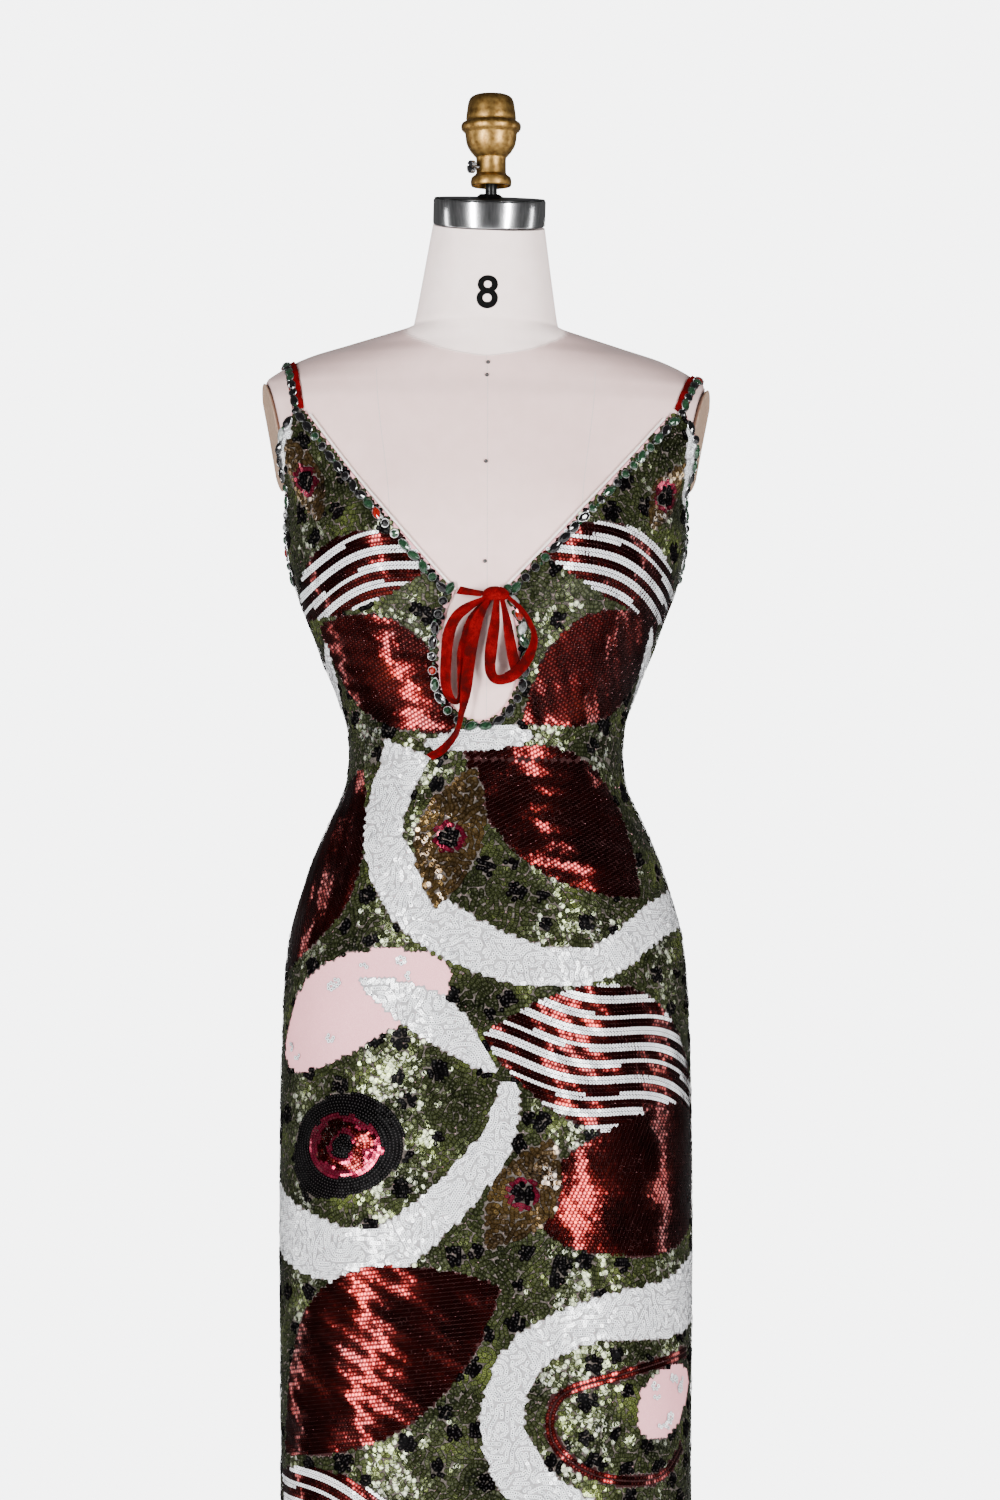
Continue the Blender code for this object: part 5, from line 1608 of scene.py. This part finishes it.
# pale rolled edge and velvet straps
edgeTrim = {
    "rollRadius": 0.00125, "rollSteps": 150, "rollGap": 0.0004, "rollOut": 0.0009, "rollEnds": (0.0012, 0.005),
    "strapWidth": 0.0116, "strapThick": 0.0013, "strapSeat": 0.0007, "strapStep": 0.002,
    "strapTurns": 320, "strapReach": (0.01, 0.20), "pivot": 1.36,
    # turn up from level behind the pivot in degrees, then how far aside the left and the right strap lie
    "strapRoute": (
        (154.0, 0.1640, 0.1695), (128.0, 0.1690, 0.1790), (104.0, 0.1735, 0.1860), (80.0, 0.1755, 0.1870),
        (50.0, 0.1720, 0.1810), (15.0, 0.1560, 0.1620), (-20.0, 0.1330, 0.1350), (-51.0, 0.1120, 0.1120),
    ),
}


def evenPath(path, spacing):
    length = lengthAlong(path)
    return readRows(path, length, np.linspace(0, length[-1], max(round(length[-1] / spacing), 1) + 1))


def frontSurface(x, z, out):
    return roundPoint(turnAtX(x, z), z, out)


def addRolls():
    top, bottom = body["cupTop"] - edgeTrim["rollEnds"][1], opening["top"] + edgeTrim["rollEnds"][0]
    for side, sign in bothSides:
        z = np.linspace(bottom, top, edgeTrim["rollSteps"])
        edge = frontSurface(openingShift(z) + sign * necklineHalf(z, sign), z, edgeTrim["rollOut"])
        normals = outwardNormal(edge)
        away = np.cross(unit(np.gradient(edge, axis=0)), normals)
        away *= -np.sign(away[:, :1]) * sign
        step = np.arange(len(z))
        ripple = 1 + 0.06 * np.sin(step * 0.9) + 0.05 * np.sin(step * 2.3)
        path = edge + away * (edgeTrim["rollRadius"] + edgeTrim["rollGap"])
        piece = tubePiece("edge_roll_" + side, path, edgeTrim["rollRadius"] * ripple, "piping", 10,
                          normals)
        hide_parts("neckline_binding_" + side)


def strapPath(sign, frontRoom, backRoom):
    # over the form's shoulder, found by halving along rays from the pivot, and cut off at the cloth
    route, count = edgeTrim["strapRoute"], edgeTrim["strapTurns"]
    turns = np.linspace(route[0][0], route[-1][0], count)
    x = sign * np.array([smoothRow(route, turn)[sign > 0] for turn in turns])
    heading = np.stack([np.zeros(count), np.cos(np.radians(turns)), np.sin(np.radians(turns))], 1)
    start = np.stack([x, np.zeros(count), np.full(count, edgeTrim["pivot"])], 1)
    near, far = (np.full(count, reach) for reach in edgeTrim["strapReach"])
    for _ in range(40):
        middle = (near + far) / 2
        outside = outwardness(start + heading * middle[:, None], "form") > 0
        near, far = np.where(outside, near, middle), np.where(outside, middle, far)
    path = evenPath(start + heading * near[:, None], edgeTrim["strapStep"])
    clothTop = np.where(path[:, 1] < 0, body["cupTop"] - frontRoom, body["sideTop"] + backRoom)
    return path[path[:, 2] > clothTop]


# one half of a ribbon's outline, across and through, in halves of its width and in thicknesses
ribbonEdge = ((-1, 0), (-0.92, 0.45), (-0.5, 0.5), (0, 0.5), (0.5, 0.5), (0.92, 0.45))


def ribbonStrip(name, path, normals, width, thick):
    # a flat velvet strip with softly rounded edges
    half = np.broadcast_to(np.asarray(width, float) / 2, (len(path),))[:, None]
    across, through = np.array(ribbonEdge + tuple((-x, -y) for x, y in ribbonEdge)).T
    profile = np.stack([across * half, through * thick + 0 * half], -1)
    return sweptPiece(name, path, normals, profile, "velvet", 70)


def addStraps():
    width, thick = edgeTrim["strapWidth"], edgeTrim["strapThick"]
    for side, sign in bothSides:
        route = strapPath(sign, 0.004, 0.001)
        normals = outwardNormal(route, "form")
        path = route + normals * (edgeTrim["strapSeat"] + thick / 2)
        piece = ribbonStrip("velvet_strap_" + side, path, normals, width, thick)
        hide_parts("strap_" + side)


# cut stones in claw settings
stoneCuts = {
    # corners, length, width, girdle, height and the table's share
    "marquise": (14, 0.0116, 0.0068, 0.0010, 0.0024, 0.42),
    "round": (12, 0.0070, 0.0070, 0.0010, 0.0024, 0.45),
    "bead": (8, 0.0032, 0.0032, 0.0008, 0.0019, 0.5),
}
stoneMix = {
    "odds": {"green": 0.42, "dark": 0.45, "clear": 0.06, "red": 0.07},
    "roundShare": 0.34, "lean": 24, "leanSpread": 6, "sink": 0.0002, "beadAside": 0.0012,
    # of the lines that the stones follow: off the edge, off the cloth, and from stone to stone
    "edgeLine": 0.0056, "armLine": 0.0030, "out": 0.0022, "gap": 0.0122, "keyholeGap": 1.05,
    "strapGap": 0.0092, "strapAside": 0.0022, "strapOut": 0.0002, "keyholeTurn": (-232, 52),
}


def stonePrimitive(name, corners, length, width, girdle, height, table):
    # cut stone: pointed or round outline, straight girdle, sloping crown and a flat table
    bpy.ops.object.select_all(action="DESELECT")
    bpy.ops.mesh.primitive_circle_add(vertices=corners, radius=1, fill_type="NGON")
    stone = bpy.context.object
    stone.name = name
    for vertex in stone.data.vertices:
        turn = math.atan2(vertex.co.y, vertex.co.x)
        pull = abs(math.sin(turn)) ** 1.35 if length > width * 1.2 else abs(math.sin(turn))
        vertex.co.x = math.cos(turn) * length / 2
        vertex.co.y = math.copysign(pull, math.sin(turn)) * width / 2
    bpy.ops.object.mode_set(mode="EDIT")
    bpy.ops.mesh.select_all(action="SELECT")
    bpy.ops.mesh.extrude_region_move(TRANSFORM_OT_translate={"value": (0, 0, girdle)})
    bpy.ops.mesh.extrude_region_move(TRANSFORM_OT_translate={"value": (0, 0, height - girdle)})
    bpy.ops.transform.resize(value=(table, table, 1))
    bpy.ops.object.mode_set(mode="OBJECT")
    tidyNormals(stone)
    return stone


def clawPrimitive(name, length, width):
    # shallow metal dish under a stone with four claws over its shoulder
    dish = stonePrimitive(name, 12, length * 1.16, width * 1.2, 0.0004, 0.0009, 0.92)
    for x, y in ((1, 1), (-1, 1), (1, -1), (-1, -1)):
        bpy.ops.mesh.primitive_cone_add(
            vertices=5, radius1=0.00045, radius2=0.0002, depth=0.0019,
            location=(x * 0.62 * length / 2, y * 0.50 * width * 0.72, 0.00095))
        joinTo(dish)
    return dish


def primitiveArrays(thing):
    points = np.array([tuple(vertex.co) for vertex in thing.data.vertices])
    faces = [tuple(face.vertices) for face in thing.data.polygons]
    bpy.data.objects.remove(thing)
    return points, faces


stoneShapes = {name: primitiveArrays(stonePrimitive(name, *cut)) for name, cut in stoneCuts.items()}
for name in ("marquise", "round"):
    stoneShapes[name + "Dish"] = primitiveArrays(clawPrimitive(name + "Dish", *stoneCuts[name][1:3]))


def stoneRow(path, normals, gap):
    # the stones along one edge, each as its place, long direction, normal and shape, with beads between
    length = lengthAlong(path)
    spread = np.linspace(0, length[-1], round(length[-1] / gap) + 1)
    places, normals = readRows(path, length, spread), unit(readRows(normals, length, spread))
    along = unit(np.gradient(places, axis=0))
    stones = []
    for index in range(len(places)):
        lean = math.radians(stoneMix["lean"] * math.sin(index * 2.4) + dice.normal(0, stoneMix["leanSpread"]))
        across = np.cross(normals[index], along[index])
        heading = along[index] * math.cos(lean) + across * math.sin(lean)
        shape = "round" if dice.random() < stoneMix["roundShare"] else "marquise"
        stones.append((places[index], heading, normals[index], shape))
        if index + 1 < len(places):
            middle = (places[index] + places[index + 1]) / 2
            aside = across * stoneMix["beadAside"] * (1 if index % 2 else -1)
            stones.append((middle + aside, heading, normals[index], "bead"))
    return stones


def clothStones(path, gap):
    return stoneRow(path, outwardNormal(path), gap)


def edgeStones():
    gap, line, out = stoneMix["gap"], stoneMix["edgeLine"], stoneMix["out"]
    stones = []
    for sign in (-1, 1):
        z = np.linspace(opening["top"] + 0.004, body["cupTop"] - 0.006, 200)
        x = openingShift(z) + sign * (necklineHalf(z, sign) + line / 0.78)
        stones += clothStones(frontSurface(x, z, out), gap)
        z = np.linspace(body["sideTop"] - 0.004, body["cupTop"] - 0.010, 200)
        turn = sign * (np.pi / 2 - armholeTurn(z, sign) - stoneMix["armLine"] / arcRadius)
        stones += clothStones(roundPoint(turn, z, out), gap)
        route = strapPath(sign, 0.002, 0.004)
        normals = outwardNormal(route, "form")
        outer = np.cross(unit(np.gradient(route, axis=0)), normals)
        outer *= np.sign(outer[:, :1]) * sign
        off = edgeTrim["strapSeat"] + edgeTrim["strapThick"] + stoneMix["strapOut"]
        path = route + normals * off + outer * stoneMix["strapAside"]
        stones += stoneRow(path, normals, stoneMix["strapGap"])
    turn = np.linspace(*np.radians(stoneMix["keyholeTurn"]), 240)
    rise = np.where(np.sin(turn) > 0, opening["rise"], opening["middle"] - opening["low"])
    x = openingShift(opening["middle"]) + (opening["half"] + line) * np.cos(turn)
    path = frontSurface(x, opening["middle"] + (rise + line) * np.sin(turn), out)
    return stones + clothStones(path, gap * stoneMix["keyholeGap"])


def addStones():
    stones, odds = edgeStones(), stoneMix["odds"]
    tints = dice.choice(tuple(odds), len(stones), p=tuple(odds.values()))
    redBeads = [shape == "bead" and tint == "red" for tint, (*_, shape) in zip(tints, stones)]
    tints = np.where(redBeads, "dark", tints)
    for tint in odds:
        buildStones("stones_" + tint, [s for s, t in zip(stones, tints) if t == tint], tint + "Stone", "")
    buildStones("stone_settings", [s for s in stones if s[3] != "bead"], "setting", "Dish")
    print("stones", len(stones))


def buildStones(name, stones, finish, suffix):
    points, faces, total = [], [], 0
    for place, heading, normal, shape in stones:
        local, cut = stoneShapes[shape + suffix]
        along = unit(heading - normal * np.dot(heading, normal))
        lift = stoneMix["sink"] if suffix else 0.0
        points.append(place - normal * lift + local @ np.stack([along, np.cross(normal, along), normal]))
        faces += [tuple(index + total for index in face) for face in cut]
        total += len(local)
    meshPiece(name, np.concatenate(points), faces, finish, smooth=False)


addRolls()
addStraps()
addStones()
print("edges, straps and stones done")

# velvet ribbon tie
ribbonTie = {
    # across, height, out from the cloth in millimetres, shown width, turn in degrees
    "strands": {
        "ribbon_lead_left": (
            (-23.4, 1225.4, -0.6, 9.0, 0.0), (-17.0, 1224.0, 2.4, 8.0, 4.0),
            (-10.0, 1222.6, 6.0, 7.0, 8.0), (-2.6, 1221.4, 8.6, 6.0, 0.0)),
        "ribbon_lead_right": (
            (13.1, 1224.7, -0.6, 7.0, 0.0), (11.2, 1223.5, 1.2, 6.5, 0.0),
            (9.1, 1222.3, 2.8, 6.0, 0.0), (6.8, 1221.4, 3.9, 5.5, 0.0), (3.2, 1220.2, 5.0, 5.5, 0.0)),
        "ribbon_loop_left": (
            (1.4, 1218.0, 10.6, 5.5, 20.0), (-14.0, 1210.6, 11.6, 8.0, 15.0), (-25.2, 1201.5, 11.0, 9.5, 10.0),
            (-31.6, 1186.8, 10.0, 9.8, 0.0), (-34.0, 1165.0, 9.2, 9.8, -5.0), (-34.2, 1144.0, 8.8, 9.4, -15.0),
            (-30.0, 1132.6, 8.2, 7.0, -30.0), (-25.2, 1129.4, 7.6, 5.0, -40.0), (-21.6, 1134.0, 7.0, 5.5, -30.0),
            (-20.6, 1150.0, 6.4, 8.0, -10.0), (-19.0, 1173.0, 6.2, 9.0, 0.0), (-14.6, 1194.0, 6.4, 8.0, 5.0),
            (-8.4, 1206.0, 6.4, 6.5, 10.0), (1.0, 1216.6, 7.0, 5.0, 10.0)),
        "ribbon_tail_left": (
            (4.0, 1218.4, 8.6, 6.5, 0.0), (-6.4, 1200.5, 9.6, 10.0, 0.0), (-12.2, 1177.0, 10.0, 11.0, 0.0),
            (-15.6, 1152.0, 9.4, 11.0, 5.0), (-17.6, 1134.0, 10.2, 9.0, 20.0), (-21.2, 1117.0, 11.0, 6.0, 45.0),
            (-23.0, 1108.6, 11.0, 6.0, 50.0), (-27.0, 1099.5, 10.4, 7.0, 40.0), (-36.6, 1088.4, 9.2, 8.0, 25.0),
            (-48.0, 1081.4, 8.0, 8.0, 40.0)),
        "ribbon_loop_right": (
            (9.8, 1218.6, 9.6, 7.0, 0.0), (7.8, 1196.5, 11.2, 9.5, 0.0), (4.6, 1174.0, 11.0, 10.0, 0.0),
            (3.8, 1157.5, 10.6, 9.5, -10.0), (7.0, 1149.6, 10.4, 8.5, -20.0), (13.8, 1148.0, 10.8, 8.5, -15.0),
            (22.4, 1151.6, 11.2, 9.5, 0.0), (30.4, 1158.6, 11.4, 10.0, 10.0), (36.9, 1168.0, 11.4, 9.5, 15.0),
            (41.0, 1178.5, 11.2, 8.0, 30.0), (41.2, 1188.5, 11.0, 6.0, 45.0), (36.2, 1199.6, 10.8, 5.0, 55.0),
            (29.0, 1209.6, 10.4, 5.0, 50.0), (17.6, 1219.8, 9.0, 5.0, 30.0)),
        "ribbon_tail_right": (
            (13.6, 1218.6, 7.6, 5.5, 0.0), (18.0, 1199.0, 7.4, 7.5, 0.0), (20.8, 1182.0, 7.6, 9.0, 0.0),
            (23.6, 1167.0, 7.4, 10.0, 0.0), (26.2, 1157.6, 7.2, 10.5, 5.0)),
    },
    "width": 0.0106, "thick": 0.0009, "steps": 8, "pinch": 0.62, "leadSpread": 0.7, "narrowest": 0.35,
    "knot": {"middle": (0.0085, 1.2205, 0.0088), "half": (0.0118, 0.0060, 0.0041), "rings": 48, "sides": 40,
             "folds": 7, "foldDepth": 0.09, "taper": 0.70, "crease": 0.10, "crown": 0.0012},
}


def addRibbon():
    width, pinch = ribbonTie["width"], ribbonTie["pinch"]
    for name, rows in ribbonTie["strands"].items():
        x, z, out, shown, turn = curveThrough(rows, ribbonTie["steps"]).T
        path = frontSurface(x / 1000, z / 1000, body["wall"])
        path[:, 1] -= out / 1000
        # the ribbon is as wide as its cut, and leans so far that it shows as narrow as it should
        visible = np.clip(shown / 1000 * np.cos(np.radians(turn)) / width, ribbonTie["narrowest"], 1)
        lean = np.where(np.abs(turn) > 0.5, np.sign(turn), 1) * np.arccos(visible)
        lean = np.convolve(np.pad(lean, 4, mode="edge"), np.ones(9) / 9, mode="valid")
        tangent = unit(np.gradient(path, axis=0))
        across = unit(np.cross(tangent, np.broadcast_to([0.0, -1.0, 0.0], path.shape)))
        facing = unit(np.cross(across, tangent))
        normals = facing * np.cos(lean)[:, None] - across * np.sin(lean)[:, None]
        # drawn together at the knot: a lead all along, a tail at its start, a loop at both ends
        step = np.arange(len(path))
        spread = step / 10
        if "lead" in name:
            spread = np.full(len(path), ribbonTie["leadSpread"])
        if "loop" in name:
            spread = np.minimum(step, step[::-1]) / 10
        shape = width * np.clip(pinch + (1 - pinch) * spread, pinch, 1)
        piece = ribbonStrip("velvet_" + name, path, normals, shape, ribbonTie["thick"])
        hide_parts(name)


def addKnot():
    look = ribbonTie["knot"]
    x, z, out = look["middle"]
    wide, tall, deep = look["half"]
    middle = frontSurface(np.array(x), np.array(z), body["wall"]) + (0, -out, 0)
    t = np.linspace(-1, 1, look["rings"])[:, None]
    turn = np.linspace(0, 2 * np.pi, look["sides"], endpoint=False)[None]
    fold = 1 + look["foldDepth"] * np.cos(look["folds"] * turn + 2.6 * t) * (0.6 + 0.4 * np.abs(t))
    crease = 1 - look["crease"] * np.exp(-((t - 0.12 - 0.2 * np.cos(turn)) / 0.10) ** 2)
    size = (1 - look["taper"] * np.abs(t) ** 3.0) * fold * crease
    up = tall * signedPower(np.cos(turn), 0.8) * size + look["crown"] * (1 - t * t)
    ahead = -deep * signedPower(np.sin(turn), 0.8) * size
    points = np.stack([wide * t + 0 * turn, ahead, up], -1) + middle
    piece = meshPiece("velvet_ribbon_knot", points.reshape(-1, 3), closedFaces(*points.shape[:2]),
                      "velvet", edgeAngle=80)
    tidyNormals(piece)
    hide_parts("ribbon_knot")


addRibbon()
addKnot()
print("ribbon done")

# floor, backdrop light and studio lights
studio = {
    "sky": (0.965, 0.97, 0.98), "skyShown": 6.0,
    "fill": (0.16, 0.13),  # behind the dress and on the camera's side
    "floor": {"radius": 4.2, "solid": 0.30, "faded": 0.98, "under": 0.0005, "colour": (0.80, 0.80, 0.81)},
    "lights": {
        # place, aim, width, height, watts
        "stripLeft": ((-1.95, -2.85, 1.00), (0, 0, 0.98), 0.50, 2.5, 290),
        "stripRight": ((2.05, -2.60, 1.05), (0, 0, 1.0), 0.45, 2.5, 230),
        "kickerLeft": ((-2.6, 0.40, 0.95), (0, 0, 0.90), 0.20, 1.7, 17),
        "kickerRight": ((2.6, 0.35, 0.95), (0, 0, 0.90), 0.20, 1.7, 17),
        "back": ((0.0, 3.4, 1.10), (0, 0, 0.95), 1.8, 1.8, 70),
    },
}


def addWorld():
    world = bpy.data.worlds.new("studioWorld")
    bpy.context.scene.world = world
    world.use_nodes = True
    nodes, links = world.node_tree.nodes, world.node_tree.links
    shown = nodes["Background"]
    shown.inputs["Color"].default_value = (*studio["sky"], 1)
    shown.inputs["Strength"].default_value = studio["skyShown"]
    lit = nodes.new("ShaderNodeBackground")
    place = nodes.new("ShaderNodeTexCoord")
    parts = nodes.new("ShaderNodeSeparateXYZ")
    links.new(place.outputs["Generated"], parts.inputs["Vector"])
    spread = nodes.new("ShaderNodeMapRange")
    spread.inputs["From Min"].default_value = -0.7
    spread.inputs["From Max"].default_value = 0.7
    spread.inputs["To Min"].default_value = studio["fill"][1]
    spread.inputs["To Max"].default_value = studio["fill"][0]
    links.new(parts.outputs["Y"], spread.inputs["Value"])
    links.new(spread.outputs["Result"], lit.inputs["Strength"])
    path = nodes.new("ShaderNodeLightPath")
    mix = nodes.new("ShaderNodeMixShader")
    links.new(path.outputs["Is Camera Ray"], mix.inputs["Fac"])
    links.new(lit.outputs["Background"], mix.inputs[1])
    links.new(shown.outputs["Background"], mix.inputs[2])
    links.new(mix.outputs["Shader"], nodes["World Output"].inputs["Surface"])


def addFloor():
    look = studio["floor"]
    bpy.ops.object.select_all(action="DESELECT")
    bpy.ops.mesh.primitive_circle_add(vertices=96, radius=look["radius"], fill_type="NGON")
    floor = bpy.context.object
    floor.name = "paleFloor"
    floor.location.z = -look["under"]
    material, nodes, links, shader = startMaterial("paleFloor", 0.9)
    shader.inputs["Base Color"].default_value = (*look["colour"], 1)
    place = nodes.new("ShaderNodeTexCoord")
    away = nodes.new("ShaderNodeVectorMath")
    away.operation = "LENGTH"
    links.new(place.outputs["Object"], away.inputs[0])
    fade = nodes.new("ShaderNodeMapRange")
    fade.inputs["From Min"].default_value = look["radius"] * look["solid"]
    fade.inputs["From Max"].default_value = look["radius"] * look["faded"]
    links.new(away.outputs["Value"], fade.inputs["Value"])
    clear = nodes.new("ShaderNodeBsdfTransparent")
    mix = nodes.new("ShaderNodeMixShader")
    links.new(fade.outputs["Result"], mix.inputs["Fac"])
    links.new(shader.outputs["BSDF"], mix.inputs[1])
    links.new(clear.outputs["BSDF"], mix.inputs[2])
    links.new(mix.outputs["Shader"], nodes["Material Output"].inputs["Surface"])
    floor.data.materials.append(material)


def addLights():
    for name, (place, aim, width, height, watts) in studio["lights"].items():
        light = bpy.data.lights.new(name, "AREA")
        light.shape = "RECTANGLE"
        light.size, light.size_y = width, height
        light.energy = watts
        lamp = newObject(name, light)
        lamp.location = place
        lamp.visible_camera = False
        lamp.rotation_euler = (Vector(aim) - Vector(place)).to_track_quat("-Z", "Y").to_euler()


addWorld()
addFloor()
addLights()
print("studio ready")
